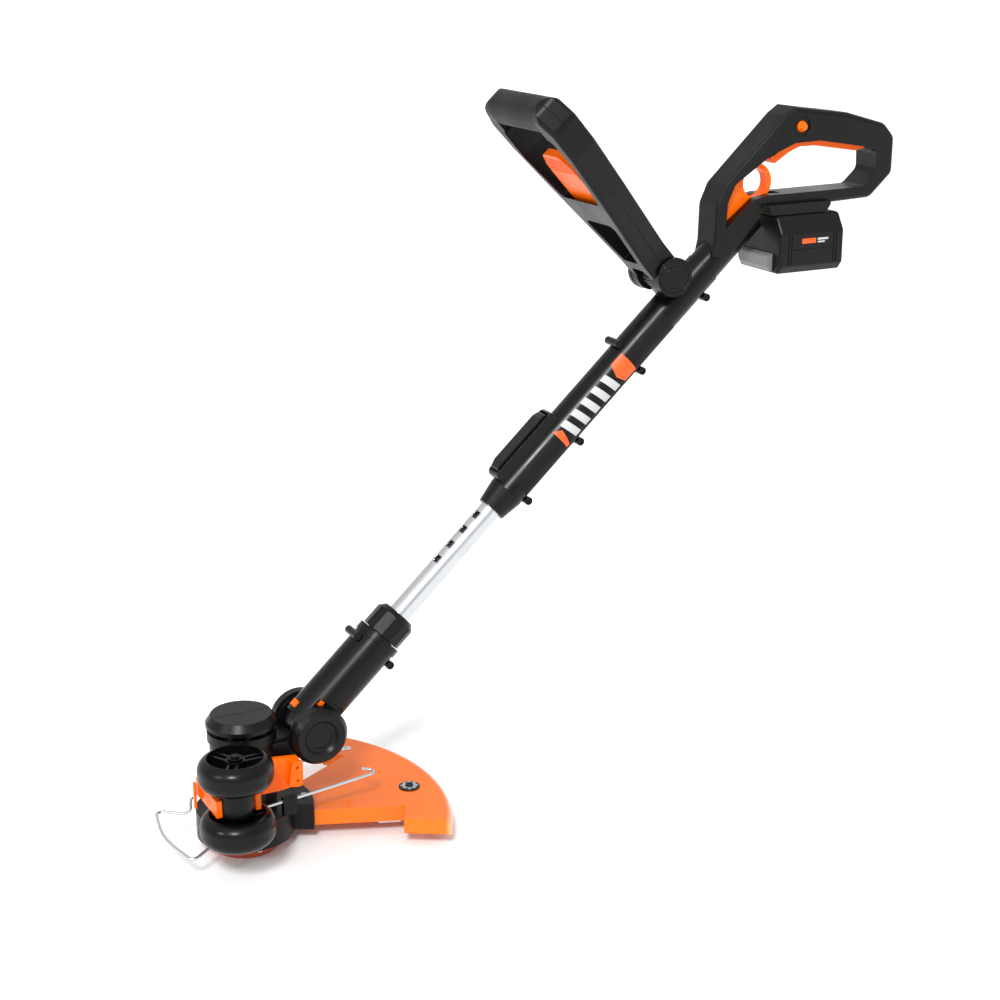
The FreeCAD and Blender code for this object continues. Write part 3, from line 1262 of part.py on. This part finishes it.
def battery_pieces():
    """The dock under the handle with its blades, and the battery that slides onto it."""
    channel = fuse(
        block(("dock_front + 4", "dock_back + 1"), ("-rail_half - gap", "rail_half + gap"),
              ("battery_top - 1", "rail_step + 1")),
        block(("dock_front + 4", "dock_back + 1"), ("-rail_head_half - gap", "rail_head_half + gap"),
              ("rail_step - gap", "rail_top + gap")),
    )
    dock_outline = [
        ("dock_front", "dock_top"), ("dock_front + 6", "battery_top + gap"),
        ("dock_back - 5", "battery_top + gap"), ("dock_back", "dock_top - 4"), ("dock_back", "dock_top"),
    ]
    dock = cut(
        pad(dock_outline, "XZ", "-dock_half", "dock_half"),
        channel,
        block(("dock_front - 1", "dock_front + 26"), ("-lever_half - gap", "lever_half + gap"),
              ("rail_top + 1.2", "dock_top + 1")),
    )
    node(at_tube_top(dock), "battery_dock")
    blades = [
        block(("dock_front + 4", "dock_front + 24"), (y - 0.4, y + 0.4),
              ("rail_step - 3", "rail_top + gap"))
        for y in (-9, -3, 3, 9)
    ]
    node(at_tube_top(group(*blades)), "dock_blades")

    block_shape = softened(
        pad(
            [
                ("battery_half - 6", "battery_low", 4), ("battery_half", "battery_low + 8", 4),
                ("battery_half", "battery_shoulder", 5), ("battery_top_half", "battery_top", 6),
                ("-battery_top_half", "battery_top", 6), ("-battery_half", "battery_shoulder", 5),
                ("-battery_half", "battery_low + 8", 4), ("-battery_half + 6", "battery_low", 4),
            ],
            "YZ", "battery_front", "battery_back",
        ),
        "battery_edge_r",
        lambda point: min(abs(point.x - value(end)) for end in ("battery_front", "battery_back")) < 0.1,
    )
    grooves = [
        block((low, f"{low} + 1.4"), (f"{side} - 0.8", f"{side} + 0.8"),
              ("battery_low + 9", "battery_shoulder - 1"))
        for low in ("battery_front + 9", "battery_front + 12.5",
                    "battery_back - 13.9", "battery_back - 10.4")
        for side in ("-battery_half", "battery_half")
    ]
    parting = [
        block(("battery_front - 1", "battery_back + 1"), (f"{side} - 0.5", f"{side} + 0.5"),
              ("battery_parting", "battery_parting + 0.9"))
        for side in ("-battery_half", "battery_half")
    ]
    case = fuse(
        cut(block_shape, *grooves, *parting),
        block(("battery_front + 1", "battery_back - 12"), ("-rail_half", "rail_half"),
              ("battery_top - 1", "rail_step + 0.5")),
        block(("battery_front + 1", "battery_back - 12"), ("-rail_head_half", "rail_head_half"),
              ("rail_step", "rail_top")),
    )
    slots = [
        block(("battery_front", "dock_front + 25"), (y - 0.9, y + 0.9), ("rail_step - 3.5", "rail_top + 1"))
        for y in (-9, -3, 3, 9)
    ]
    latch_pocket = block(
        ("battery_front - 1", "battery_front + 3"),
        ("-battery_latch_half - gap", "battery_latch_half + gap"),
        ("battery_latch_low - gap", "battery_latch_top + gap"),
    )
    cell_room = block(
        ("battery_front + 4", "battery_back - battery_wall"),
        ("-cell_long / 2 - 1", "cell_long / 2 + 1"), ("battery_low + 3", "battery_shoulder"),
    )
    node(at_tube_top(cut(case, *slots, latch_pocket, cell_room)), "battery_case")
    cells = [
        rod("cell_r", "y", "-cell_long / 2", "cell_long / 2",
            (f"battery_front + 4.2 + cell_r + {column} * (2 * cell_r + 0.05)",
             f"battery_low + 3.4 + cell_r + {row} * (2 * cell_r + 0.4)"))
        for column in range(4)
        for row in range(2)
    ]
    node(at_tube_top(group(*cells)), "battery_cells")
    latch = (
        pad(
            [
                ("battery_latch_front", "battery_latch_low + 5", 2),
                ("battery_latch_front + 5", "battery_latch_low", 2),
                ("battery_front + 2", "battery_latch_low"), ("battery_front + 2", "battery_latch_top"),
                ("battery_latch_front", "battery_latch_top - 2", 2),
            ],
            "XZ", "-battery_latch_half", "battery_latch_half",
        )
    )
    node(at_tube_top(latch), "battery_latch")


motor_pieces()
lower_housing()
guard_pieces()
cutting_head()
wheel_pieces()
wire_guard()
pivot_pieces()
neck_pieces()
lock_nut()
tube_pieces()
outer_tube_pieces()
latch_pieces()
loop_pieces()
handle_pieces()
battery_pieces()
document.recompute()

faults = [
    item.Name + " " + item.Label for item in document.Objects
    if "Invalid" in item.State or "Error" in item.State
]
faults += [item.Label for item in nodes if item.Shape.isNull() or not item.Shape.isValid()]
if faults:
    raise RuntimeError("failed pieces: " + ", ".join(faults))

os.makedirs("parts", exist_ok=True)
for item in nodes:
    item.Shape.exportStep(f"parts/{item.Label}.step")
    print(f"{item.Label:26s} {len(item.Shape.Solids)} solids {item.Shape.Volume / 1000:9.2f} cm3")
print(len(nodes), "pieces")
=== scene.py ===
# %% [markdown]
# # A string trimmer in its studio
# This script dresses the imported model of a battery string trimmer. The shapes come from the CAD model and
# are never moved. What is added here is what the eye reads: what each surface is made of, the printed
# panel, the small raised marks, and the light.

import json
import math

import bmesh
import bpy
from mathutils import Matrix, Vector


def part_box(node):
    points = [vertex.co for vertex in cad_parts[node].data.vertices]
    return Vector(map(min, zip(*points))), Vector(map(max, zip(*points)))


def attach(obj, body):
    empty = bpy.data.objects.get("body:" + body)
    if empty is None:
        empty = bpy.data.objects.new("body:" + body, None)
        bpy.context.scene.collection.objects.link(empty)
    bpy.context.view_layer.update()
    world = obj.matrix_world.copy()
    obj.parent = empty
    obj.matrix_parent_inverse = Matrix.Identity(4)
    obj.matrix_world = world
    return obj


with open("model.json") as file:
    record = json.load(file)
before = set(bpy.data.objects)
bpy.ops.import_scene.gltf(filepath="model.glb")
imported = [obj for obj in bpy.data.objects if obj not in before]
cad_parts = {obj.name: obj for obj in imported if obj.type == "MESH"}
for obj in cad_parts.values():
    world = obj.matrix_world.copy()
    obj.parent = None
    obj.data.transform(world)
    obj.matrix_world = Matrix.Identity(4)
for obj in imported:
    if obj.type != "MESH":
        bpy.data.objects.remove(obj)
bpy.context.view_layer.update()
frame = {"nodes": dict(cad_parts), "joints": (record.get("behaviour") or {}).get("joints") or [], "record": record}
record = frame["record"]
joints = {joint["name"]: joint for joint in frame["joints"]}

# %% [markdown]
# ## Lengths and directions
# Blender works in metres, and this object's details are small, so lengths are written in millimetres and
# multiplied by MM. The tool is built round one slanted line, its shaft. The joints hold where that line
# starts and which way it runs, so it is read from them: nothing here has to be changed when the model
# grows.

# %% Lengths and directions
MM = 0.001
shaft_foot = Vector(joints["neck_twist"]["pos_m"])
shaft_way = Vector(joints["tube_slide"]["axis"]).normalized()
side_way = Vector((0, 1, 0))
shaft_up = shaft_way.cross(side_way).normalized() * -1
print("The shaft climbs at", round(math.degrees(math.asin(shaft_way.z)), 1), "degrees")


# %% [markdown]
# ## Two helpers for every material
# A colour picked on a screen is an sRGB value, but a renderer adds up light, so it wants linear values. One
# function turns the first into the second. A material is a small graph of nodes, and a second function adds
# one node with its settings and its links, so each material below reads as a list of what it does.

# %% Two helpers for every material
def linear(hex_colour):
    """The linear RGBA of a colour written as #RRGGBB."""
    channels = [int(hex_colour[i : i + 2], 16) / 255 for i in (1, 3, 5)]
    return tuple(c / 12.92 if c <= 0.04045 else ((c + 0.055) / 1.055) ** 2.4 for c in channels) + (1.0,)


def add(tree, kind, values=None, links=None, **settings):
    """Adds a node: values go on its sockets, links feed its sockets, settings are its own choices."""
    node = tree.nodes.new("ShaderNode" + kind)
    for name, setting in settings.items():
        setattr(node, name, setting)
    for socket, value in (values or {}).items():
        node.inputs[socket].default_value = value
    for socket, source in (links or {}).items():
        tree.links.new(source, node.inputs[socket])
    return node


# %% [markdown]
# ## One recipe for a moulded or drawn surface
# Almost every surface here left a mould, a die or a plating bath. Each has a base colour that wanders a
# little, a gloss that wanders more, a fine grain, and edges that are never knife sharp. The recipe makes
# those four from a few real sizes. A Bevel node rounds the edges for the light only, so outlines stay those
# of the CAD. A wire is too thin for that node, so it is asked for no edge. A seam is the plane where two
# halves meet, and the recipe presses a groove wherever the surface crosses it.

# %% One recipe for a moulded or drawn surface
PATCH = 35 * MM  # how far apart the slow changes of colour and gloss lie
WANDER = 0.06  # how far the roughness drifts either way
NOISE_LOW, NOISE_HIGH = 0.3, 0.7  # nearly all of a noise texture lies between these
SEAM_HALF = 0.45 * MM  # half the width of the line where two halves meet
SEAM_DEEP = 0.35 * MM


def made(name, colour, shade, roughness, grain, depth, edge=0.6, stretch=None, seam=None, sockets=None):
    """Colour drifts to shade; grain, depth and edge are in mm; a seam is a point and a normal."""
    material = bpy.data.materials.new(name)
    material.use_nodes = True
    tree = material.node_tree
    tree.nodes.clear()
    place = add(tree, "TexCoord").outputs["Object"]
    patches = add(tree, "TexNoise", {"Scale": 1 / PATCH, "Detail": 3.0}, {"Vector": place}).outputs["Fac"]
    tint = add(tree, "Mix", {6: linear(colour), 7: linear(shade)}, {"Factor": patches}, data_type="RGBA")
    drift = {
        "From Min": NOISE_LOW,
        "From Max": NOISE_HIGH,
        "To Min": roughness - WANDER,
        "To Max": roughness + WANDER,
    }
    gloss = add(tree, "MapRange", drift, {"Value": patches})
    if stretch:
        turn, scale = stretch
        place = add(tree, "Mapping", {"Rotation": turn, "Scale": scale}, {"Vector": place}).outputs[0]
    speckle = add(tree, "TexNoise", {"Scale": 1 / (grain * MM), "Detail": 2.0}, {"Vector": place})
    if edge:
        round_edge = add(tree, "Bevel", {"Radius": edge * MM}, samples=4).outputs["Normal"]
    else:
        round_edge = add(tree, "NewGeometry").outputs["Normal"]
    if seam:
        rest = add(tree, "TexCoord").outputs["Object"]
        offset = add(tree, "VectorMath", {1: seam[0]}, {0: rest}, operation="SUBTRACT")
        away = add(tree, "VectorMath", {1: seam[1]}, {0: offset.outputs[0]}, operation="DOT_PRODUCT")
        off = add(tree, "Math", None, {0: away.outputs["Value"]}, operation="ABSOLUTE")
        lip = add(tree, "MapRange", {"From Min": 0.0, "From Max": SEAM_HALF}, {"Value": off.outputs[0]})
        groove = add(
            tree,
            "Bump",
            {"Strength": 1.0, "Distance": SEAM_DEEP},
            {"Height": lip.outputs[0], "Normal": round_edge},
        )
        round_edge = groove.outputs["Normal"]
    relief = add(
        tree,
        "Bump",
        {"Strength": 1.0, "Distance": depth * MM},
        {"Height": speckle.outputs["Fac"], "Normal": round_edge},
    )
    skin = add(
        tree,
        "BsdfPrincipled",
        sockets,
        {"Base Color": tint.outputs[2], "Roughness": gloss.outputs[0], "Normal": relief.outputs["Normal"]},
    )
    add(tree, "OutputMaterial", None, {"Surface": skin.outputs["BSDF"]})
    return material


# %% [markdown]
# ## The plastics
# The shells are ABS. Its mould is spark eroded, which leaves a fine grain. Real grain is near 0.1 mm and
# would be lost in the render, so it is drawn at 0.8 mm. It breaks up the gloss, so highlights are broad and
# soft. Black pigment lets little light come back, so what the eye reads is the shine, and the specular
# level sets it. Knobs and wheels come from a polished mould and shine more. The grips are a soft
# rubber-like plastic moulded over the ABS: duller, and with a coarser grain.
#
# Each housing is two halves screwed together, and a fine line shows where they meet. The line lies in a
# plane, so it is drawn as a shallow groove wherever the surface crosses that plane.

# %% The plastics
BLACK_ABS = {"IOR": 1.53, "Specular IOR Level": 0.19}
ORANGE_ABS = {"IOR": 1.53, "Specular IOR Level": 0.18}
NYLON = {"IOR": 1.53}
middle_seam = (tuple(shaft_foot), tuple(side_way))
loop_seam = (joints["loop_tilt"]["pos_m"], tuple(shaft_way))
finish = {
    "black_shell": made(
        "ABS, spark-eroded black", "#0C0C0D", "#080808", 0.27, 0.8, 0.025,
        seam=middle_seam, sockets=BLACK_ABS,
    ),
    "black_gloss": made("ABS, polished black", "#0B0B0C", "#080808", 0.22, 1.5, 0.006, sockets=BLACK_ABS),
    "soft_grip": made(
        "TPE, overmoulded", "#121212", "#0D0D0D", 0.52, 1.4, 0.14, edge=1.2,
        sockets={"IOR": 1.5, "Specular IOR Level": 0.2, "Sheen Weight": 0.02},
    ),
    "orange": made("ABS, polished orange", "#FF6C00", "#FC6000", 0.3, 1.2, 0.008, sockets=ORANGE_ABS),
    "cover_red": made("Nylon, moulded rust red", "#B4461F", "#9A3616", 0.5, 0.9, 0.02, sockets=NYLON),
    "line": made("Nylon line, wound", "#D2481C", "#B83A12", 0.35, 1.6, 0.2, sockets=NYLON),
    "bush": made("Nylon, natural", "#D8D4C8", "#CBC6B8", 0.5, 0.8, 0.01, sockets=NYLON),
    "grey": made("ABS, spark-eroded grey", "#7C7E80", "#6C6E70", 0.42, 0.8, 0.02, sockets={"IOR": 1.53}),
    "cells": made(
        "PVC sleeve, shrunk on the cells", "#1F6FA8", "#1A6096", 0.3, 2.0, 0.01, sockets={"IOR": 1.54}
    ),
    "label": made(
        "Polyester film, printed black", "#0F0F0F", "#0D0D0D", 0.62, 0.5, 0.004, edge=0.1, sockets=BLACK_ABS
    ),
}
loop_finish = made(
    "ABS, spark-eroded black, loop halves", "#0E0E0F", "#090909", 0.34, 0.8, 0.025,
    seam=loop_seam, sockets=BLACK_ABS,
)
plain_finish = made(
    "ABS, spark-eroded black, one piece", "#0F0F10", "#0A0A0A", 0.34, 0.8, 0.025, sockets=BLACK_ABS
)
wheel_finish = made("PP, moulded black wheel", "#0B0B0C", "#070707", 0.27, 0.9, 0.015, sockets=BLACK_ABS)
print(len(finish), "plastics, and three blacks for certain pieces")

# %% [markdown]
# ## The metals
# A metal has no colour of its own under its shine, so Metallic is 1 and the base colour is the colour of
# the reflection. The tube is drawn through a die, which leaves hair lines along it. Real ones are a few
# hundredths of a millimetre wide, and here they are 0.9 mm wide and fifty times as long, so that they show.

# %% The metals
METAL = {"Metallic": 1.0}
along_shaft = ((0, -math.asin(shaft_way.z), 0), (0.02, 1.0, 1.0))
finish["aluminium"] = made(
    "Aluminium, drawn and brushed", "#DADCDE", "#C8CBCE", 0.24, 0.9, 0.012, stretch=along_shaft, sockets=METAL
)
finish["steel"] = made("Steel, zinc plated", "#D2D5D8", "#C0C4C9", 0.42, 0.7, 0.01, edge=0.3, sockets=METAL)
finish["black_steel"] = made(
    "Steel, black oxide", "#2A2A2C", "#222224", 0.42, 0.7, 0.01, edge=0.3, sockets=METAL
)
finish["chrome"] = made(
    "Steel wire, nickel plated", "#D8DADC", "#C9CCCF", 0.3, 6.0, 0.0, edge=0, sockets=METAL
)
finish["motor_can"] = made("Steel, drawn can", "#A8ABAF", "#989CA1", 0.38, 0.9, 0.01, sockets=METAL)
finish["brass"] = made("Brass, rolled blade", "#D8B26A", "#C69F55", 0.28, 0.6, 0.008, edge=0.2, sockets=METAL)
print(len(finish), "finishes")

# %% [markdown]
# ## The clear guard
# The guard is injection moulded polycarbonate with an orange dye. Light goes into it and comes back out
# coloured, so it glows where it is thick and looks washed out at the rolled rim, where the wall turns edge
# on to the eye. Two things give that: a little transmission, and painted light, a colour that goes pale in
# the last stretch of its radius to stand in for that washed-out look. The radius is measured from the motor
# axis, which is where the guard's arc has its centre.

# %% The clear guard
guard_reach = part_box("guard")[1][0]
PAINTED_RIM_WIDTH = 7 * MM  # how wide the rim of painted pale light is
CLOUD = 60 * MM  # the dye is a little uneven over this distance
RIPPLE = 9 * MM  # and the surface has a faint ripple, as moulded sheets do
RIPPLE_DEEP = 0.02 * MM
GUARD_EDGE = 1.0 * MM


def guard_material():
    """Clear orange polycarbonate, with painted light: its colour goes pale towards its rim."""
    material = bpy.data.materials.new("Polycarbonate, clear orange")
    material.use_nodes = True
    tree = material.node_tree
    tree.nodes.clear()
    place = add(tree, "TexCoord").outputs["Object"]
    flat = add(tree, "VectorMath", {1: (1, 1, 0)}, {0: place}, operation="MULTIPLY")
    radius = add(tree, "VectorMath", None, {0: flat.outputs[0]}, operation="LENGTH")
    # the mask of the painted pale rim, which stands in for light through the edge-on wall
    painted_rim_mask = add(
        tree,
        "MapRange",
        {"From Min": guard_reach - PAINTED_RIM_WIDTH, "From Max": guard_reach},
        {"Value": radius.outputs["Value"]},
        interpolation_type="SMOOTHSTEP",
    )
    clouds = add(tree, "TexNoise", {"Scale": 1 / CLOUD, "Detail": 2.0}, {"Vector": place})
    dye = {6: linear("#FF7000"), 7: linear("#FF7C08")}
    body = add(tree, "Mix", dye, {"Factor": clouds.outputs["Fac"]}, data_type="RGBA").outputs[2]
    # painted light: a pale colour mixed in towards the rim for the washed-out look of the edge-on wall
    painted_pale_light = {7: linear("#FFB98A")}
    colour = add(tree, "Mix", painted_pale_light, {"Factor": painted_rim_mask.outputs[0], 6: body}, data_type="RGBA")
    ripple = add(tree, "TexNoise", {"Scale": 1 / RIPPLE, "Detail": 1.0}, {"Vector": place})
    round_edge = add(tree, "Bevel", {"Radius": GUARD_EDGE})
    relief = add(
        tree,
        "Bump",
        {"Strength": 1.0, "Distance": RIPPLE_DEEP},
        {"Height": ripple.outputs["Fac"], "Normal": round_edge.outputs["Normal"]},
    )
    skin = add(
        tree,
        "BsdfPrincipled",
        {"IOR": 1.58, "Roughness": 0.12, "Transmission Weight": 0.16, "Specular IOR Level": 0.28},
        {"Base Color": colour.outputs[2], "Normal": relief.outputs["Normal"]},
    )
    add(tree, "OutputMaterial", None, {"Surface": skin.outputs["BSDF"]})
    return material


finish["clear_orange"] = guard_material()
print("The guard reaches", round(guard_reach / MM), "mm from the motor axis")

# %% [markdown]
# ## Dress the CAD nodes
# The record says which finish each piece has. Three groups of black pieces need their own: the loop's
# halves meet in another plane, the wheels are a different plastic, and one-piece mouldings have no line at
# all.

# %% Dress the CAD nodes
own = {"loop_front_shell": loop_finish, "loop_back_shell": loop_finish}
own |= {"wheel_lower": wheel_finish, "wheel_upper": wheel_finish, "axle_spacer": wheel_finish}
one_piece = (
    "motor_cap", "motor_housing", "guard_mount", "battery_case", "lock_nut", "tube_collar", "battery_dock",
    "guard_rivet", "pivot_knobs", "spool_driver", "line_spool", "power_switch", "neck_collet",
)
own |= {name: plain_finish for name in one_piece}
for row in record["subparts"]:
    node = frame["nodes"][row["node"]]
    node.data.materials.clear()
    node.data.materials.append(own.get(row["node"], finish[row["material_slot"]]))
print("Dressed", len(record["subparts"]), "nodes")

# %% [markdown]
# ## The printed marks on the tube
# The label on each side of the tube is a black film with a print: an orange arrow at the top, an orange
# corner at the bottom, and light marks between them. The real print holds a name, so here it is plain
# slanted bars. Ink lies on the film as a skin with clean edges. It could be painted in the label's
# material, but a thin patch of mesh keeps its edge sharp at any distance. Each patch is like a
# four-cornered piece of paper bent round the tube: its corners are given as a distance along the shaft and
# an angle round it. It needs steps both ways, because a flat piece between two angles would cut into the
# tube.

# %% Patches bent round the tube
label_points = [vertex.co - shaft_foot for vertex in frame["nodes"]["tube_labels"].data.vertices]
label_foot = min(point.dot(shaft_way) for point in label_points)
label_radius = max((point - shaft_way * point.dot(shaft_way)).length for point in label_points)
INK = 0.06 * MM  # how far the ink stands off the film: more than real, so that the two never meet
BEND_STEPS = 14  # rows of faces down the side of the tube
WIDE_STEPS = 6  # and columns along it
print("The film starts", round(label_foot / MM), "mm up the shaft")


def on_tube(along, degrees, side):
    """A point on the film: along in mm from its lower end, degrees up from its side, side -1 or 1."""
    angle = math.radians(degrees)
    out = side_way * side * math.cos(angle) + shaft_up * math.sin(angle)
    return shaft_foot + shaft_way * (label_foot + along * MM) + out * (label_radius + INK)


def patch(bm, corners, side):
    """A bent four-cornered patch: corners run lower-top, upper-top, upper-bottom, lower-bottom."""
    rows = []
    for i in range(BEND_STEPS + 1):
        down = i / BEND_STEPS
        low = [a + (b - a) * down for a, b in zip(corners[0], corners[3])]
        high = [a + (b - a) * down for a, b in zip(corners[1], corners[2])]
        row = []
        for k in range(WIDE_STEPS + 1):
            across = k / WIDE_STEPS
            place = [a + (b - a) * across for a, b in zip(low, high)]
            row.append(bm.verts.new(on_tube(*place, side)))
        rows.append(row)
    for one, two in zip(rows, rows[1:]):
        for k in range(WIDE_STEPS):
            face = (one[k], one[k + 1], two[k + 1], two[k])
            bm.faces.new(face if side < 0 else face[::-1]).smooth = True


def piece(name, bm, material, body):
    """Turns a bmesh into a named piece that rides on a body and takes a finish."""
    mesh = bpy.data.meshes.new(name)
    bm.to_mesh(mesh)
    bm.free()
    mesh.materials.append(material)
    item = bpy.data.objects.new(name, mesh)
    bpy.context.collection.objects.link(item)
    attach(item, body)
    return item


orange_ink = made("Ink, screen-printed orange", "#FF5A10", "#FA520A", 0.45, 0.6, 0.003, edge=0.05)
grey_ink = made("Ink, screen-printed light grey", "#C2C3C4", "#B8B9BA", 0.5, 0.6, 0.003, edge=0.05)

# %% [markdown]
# ## The orange arrow and corner
# The orange marks close the print at both ends. The arrow is two patches that meet on its middle line, so
# that each of them has four corners. Both marks are drawn on each side of the tube.

# %% The orange arrow and corner
CORNER = ((62, 30), (66, 28), (70, -26), (62, -44))
ARROW_UPPER = ((151, 31), (167, 31), (167, -8), (146, -8))
ARROW_LOWER = ((146, -8), (167, -8), (167, -46), (151, -46))
bm = bmesh.new()
for side in (-1, 1):
    for corners in (CORNER, ARROW_UPPER, ARROW_LOWER):
        patch(bm, corners, side)
arrows = piece("label_arrows", bm, orange_ink, "upper_unit")
print("Arrows and corners:", len(arrows.data.polygons), "faces of ink")

# %% [markdown]
# ## The light bars
# Five bars stand between the orange marks. Each leans back towards the lower end as it goes down the side,
# and all of them come from one line of code and a pitch.

# %% The light bars
BARS_FROM, BARS_TO, BAR_PITCH, BAR_WIDE, BAR_SLANT = 76, 146, 15, 8, 4
BAR_TOP, BAR_FOOT = 26, -40
bm = bmesh.new()
for side in (-1, 1):
    for start in range(BARS_FROM, BARS_TO, BAR_PITCH):
        end = start + BAR_WIDE
        top = (start, BAR_TOP), (end, BAR_TOP)
        foot = (end - BAR_SLANT, BAR_FOOT), (start - BAR_SLANT, BAR_FOOT)
        patch(bm, top + foot, side)
bars = piece("label_bars", bm, grey_ink, "upper_unit")
print("Bars:", len(bars.data.polygons), "faces of ink")

# %% [markdown]
# ## Rings on the knobs
# Each end cap of the loop's hinge has a raised rim round a shallow dish. A ring like that is a profile
# turned round an axis, as on a lathe. The profile here is a half circle of a few points. The line of light
# that runs round the ring is what tells the eye that the cap is round.

# %% Rings on the knobs
RING_STEPS = 64  # steps round the axis
RING_POINTS = 7  # points in the half circle


def ring(bm, centre, axis, radius, half_width):
    """A half-round ring: centre and axis are vectors, radius and half_width are in mm."""
    across = axis.orthogonal().normalized()
    other = axis.cross(across)
    loops = []
    for step in range(RING_STEPS):
        turn = 2 * math.pi * step / RING_STEPS
        out = across * math.cos(turn) + other * math.sin(turn)
        profile = []
        for k in range(RING_POINTS):
            bow = math.pi * k / (RING_POINTS - 1)
            reach = radius - half_width * math.cos(bow)
            rise = half_width * math.sin(bow)
            profile.append(bm.verts.new(centre + out * (reach * MM) + axis * (rise * MM)))
        loops.append(profile)
    for one, two in zip(loops, loops[1:] + loops[:1]):
        for k in range(RING_POINTS - 1):
            bm.faces.new((one[k], two[k], two[k + 1], one[k + 1])).smooth = True


KNOB_RINGS = ((16.2, 0.9), (11.0, 0.5))  # radius and half width in mm
loop_centre = Vector(joints["loop_tilt"]["pos_m"])
knob_low, knob_high = (Vector(corner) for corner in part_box("loop_knobs"))
bm = bmesh.new()
for side, face in ((-1, knob_low.y), (1, knob_high.y)):
    seat = Vector((loop_centre.x, face, loop_centre.z))
    for radius, half_width in KNOB_RINGS:
        ring(bm, seat, side_way * side, radius, half_width)
bmesh.ops.recalc_face_normals(bm, faces=bm.faces)
rings = piece("loop_knob_rings", bm, finish["black_gloss"], "loop")
print("Rings:", len(rings.data.polygons), "faces")

# %% [markdown]
# ## The marks on the battery
# The battery's side has a print in orange and white. Small raised plates stand in for it: a long orange bar
# and two short white ones. Each starts as a box, and its edges are bevelled, so that it catches a thin line
# of light as a moulded plate does.

# %% Raised bars
PROUD = 0.3 * MM  # how far a plate stands out of the battery's side
PLATE_EDGE = 0.25 * MM
ORANGE_BARS = ((26, 17, 30, 5),)  # each bar's start, length, foot and height in mm
WHITE_BARS = ((45, 13, 32.6, 2.2), (45, 9, 30, 1.6))
battery_low, battery_high = (Vector(corner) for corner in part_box("battery_case"))


def plate(bm, low, high):
    """A small plate with rounded edges between two corners in metres."""
    size = Vector(high) - Vector(low)
    centre = (Vector(high) + Vector(low)) / 2
    box = bmesh.ops.create_cube(bm, size=1.0, matrix=Matrix.Translation(centre) @ Matrix.Diagonal((*size, 1)))
    edges = list({edge for vertex in box["verts"] for edge in vertex.link_edges})
    bmesh.ops.bevel(bm, geom=edges, offset=PLATE_EDGE, segments=2, affect="EDGES")


def battery_bars(name, sizes, material):
    """A row of plates on both sides of the battery."""
    bm = bmesh.new()
    for side in (battery_low.y, battery_high.y):
        for start, long, foot, high in sizes:
            x = battery_low.x + start * MM
            z = battery_low.z + foot * MM
            plate(bm, (x, side - PROUD, z), (x + long * MM, side + PROUD, z + high * MM))
    return piece(name, bm, material, "battery")


battery_bars("battery_orange_bar", ORANGE_BARS, orange_ink)
battery_bars("battery_white_bars", WHITE_BARS, grey_ink)
print("Battery marks stand", round(PROUD / MM, 1), "mm proud")

# %% [markdown]
# ## The studio
# The floor is a sheet of white paper that runs far beyond the tool. A sun lamp lights a floor evenly
# however far it runs, and a wide sun makes shadows that fade out at once. The world adds the light of white
# walls.

# %% The studio
FLOOR_REACH = 600.0  # metres each way
FLOOR_TOP = -0.5 * MM  # a hair under the tool, so that the two never meet
WORLD_STRENGTH = 0.78
floor_mesh = bpy.data.meshes.new("studio_floor")
signs = ((-1, -1), (1, -1), (1, 1), (-1, 1))
floor_corners = [(x * FLOOR_REACH, y * FLOOR_REACH, FLOOR_TOP) for x, y in signs]
floor_mesh.from_pydata(floor_corners, [], [(0, 1, 2, 3)])
floor = bpy.data.objects.new("studio_floor", floor_mesh)
bpy.context.collection.objects.link(floor)
paper = made("Paper, matt white", "#FAFAFA", "#F8F8F8", 0.9, 2.0, 0.0, sockets={"Specular IOR Level": 0.0})
floor_mesh.materials.append(paper)

scene = bpy.context.scene
scene.view_settings.view_transform = "Standard"
world = bpy.data.worlds.new("studio")
scene.world = world
world.use_nodes = True
world.node_tree.nodes["Background"].inputs["Color"].default_value = (1, 1, 1, 1)
world.node_tree.nodes["Background"].inputs["Strength"].default_value = WORLD_STRENGTH


def sun(name, way, strength, width):
    """A sun that shines along way: strength in watts per square metre, width in degrees."""
    data = bpy.data.lights.new(name, "SUN")
    data.energy = strength
    data.angle = math.radians(width)
    lamp = bpy.data.objects.new(name, data)
    lamp.rotation_euler = Vector(way).to_track_quat("-Z", "Y").to_euler()
    bpy.context.collection.objects.link(lamp)
    print(name, "gives", strength, "W per square metre and is", width, "degrees wide")


sun("soft sun", (0.25, 0.4, -1.0), 0.35, 80)

# %% [markdown]
# ## The lights that draw the form
# Black plastic has almost no colour of its own, so its form is read from what it mirrors. A narrow light
# far behind the camera and above it draws one bright line along each round part. A second, from the left,
# marks the chamfers of the handles. Both are suns a few degrees wide, so the lines stay even from end to
# end.

# %% The lights that draw the form
sun("key", (0.40, 0.62, -0.67), 2.2, 11)
sun("left edge", (0.85, 0.20, -0.50), 0.6, 8)

# %% [markdown]
# ## The camera
# A long lens flattens the tool as a catalogue picture does. The camera stands a little under two metres off
# and a little above the handles, and is turned so that the shaft runs from lower left to upper right. Its
# far clip is past the floor's corners.

# %% The camera
LENS, SENSOR = 67.02, 36  # mm
STAND = (-0.52894, -1.55206, 0.86322)
LOOK_DOWN, LOOK_RIGHT = 17.61, 27.44  # degrees below level, and round from straight on
FAR_CLIP = 1000
camera_data = bpy.data.cameras.new("camera")
camera_data.lens = LENS
camera_data.sensor_width = SENSOR
camera_data.clip_end = FAR_CLIP
camera = bpy.data.objects.new("camera", camera_data)
camera.location = STAND
camera.rotation_euler = (math.radians(90 - LOOK_DOWN), 0, math.radians(-LOOK_RIGHT))
bpy.context.collection.objects.link(camera)
scene.camera = camera
print("A", LENS, "mm lens looks down by", LOOK_DOWN, "degrees")
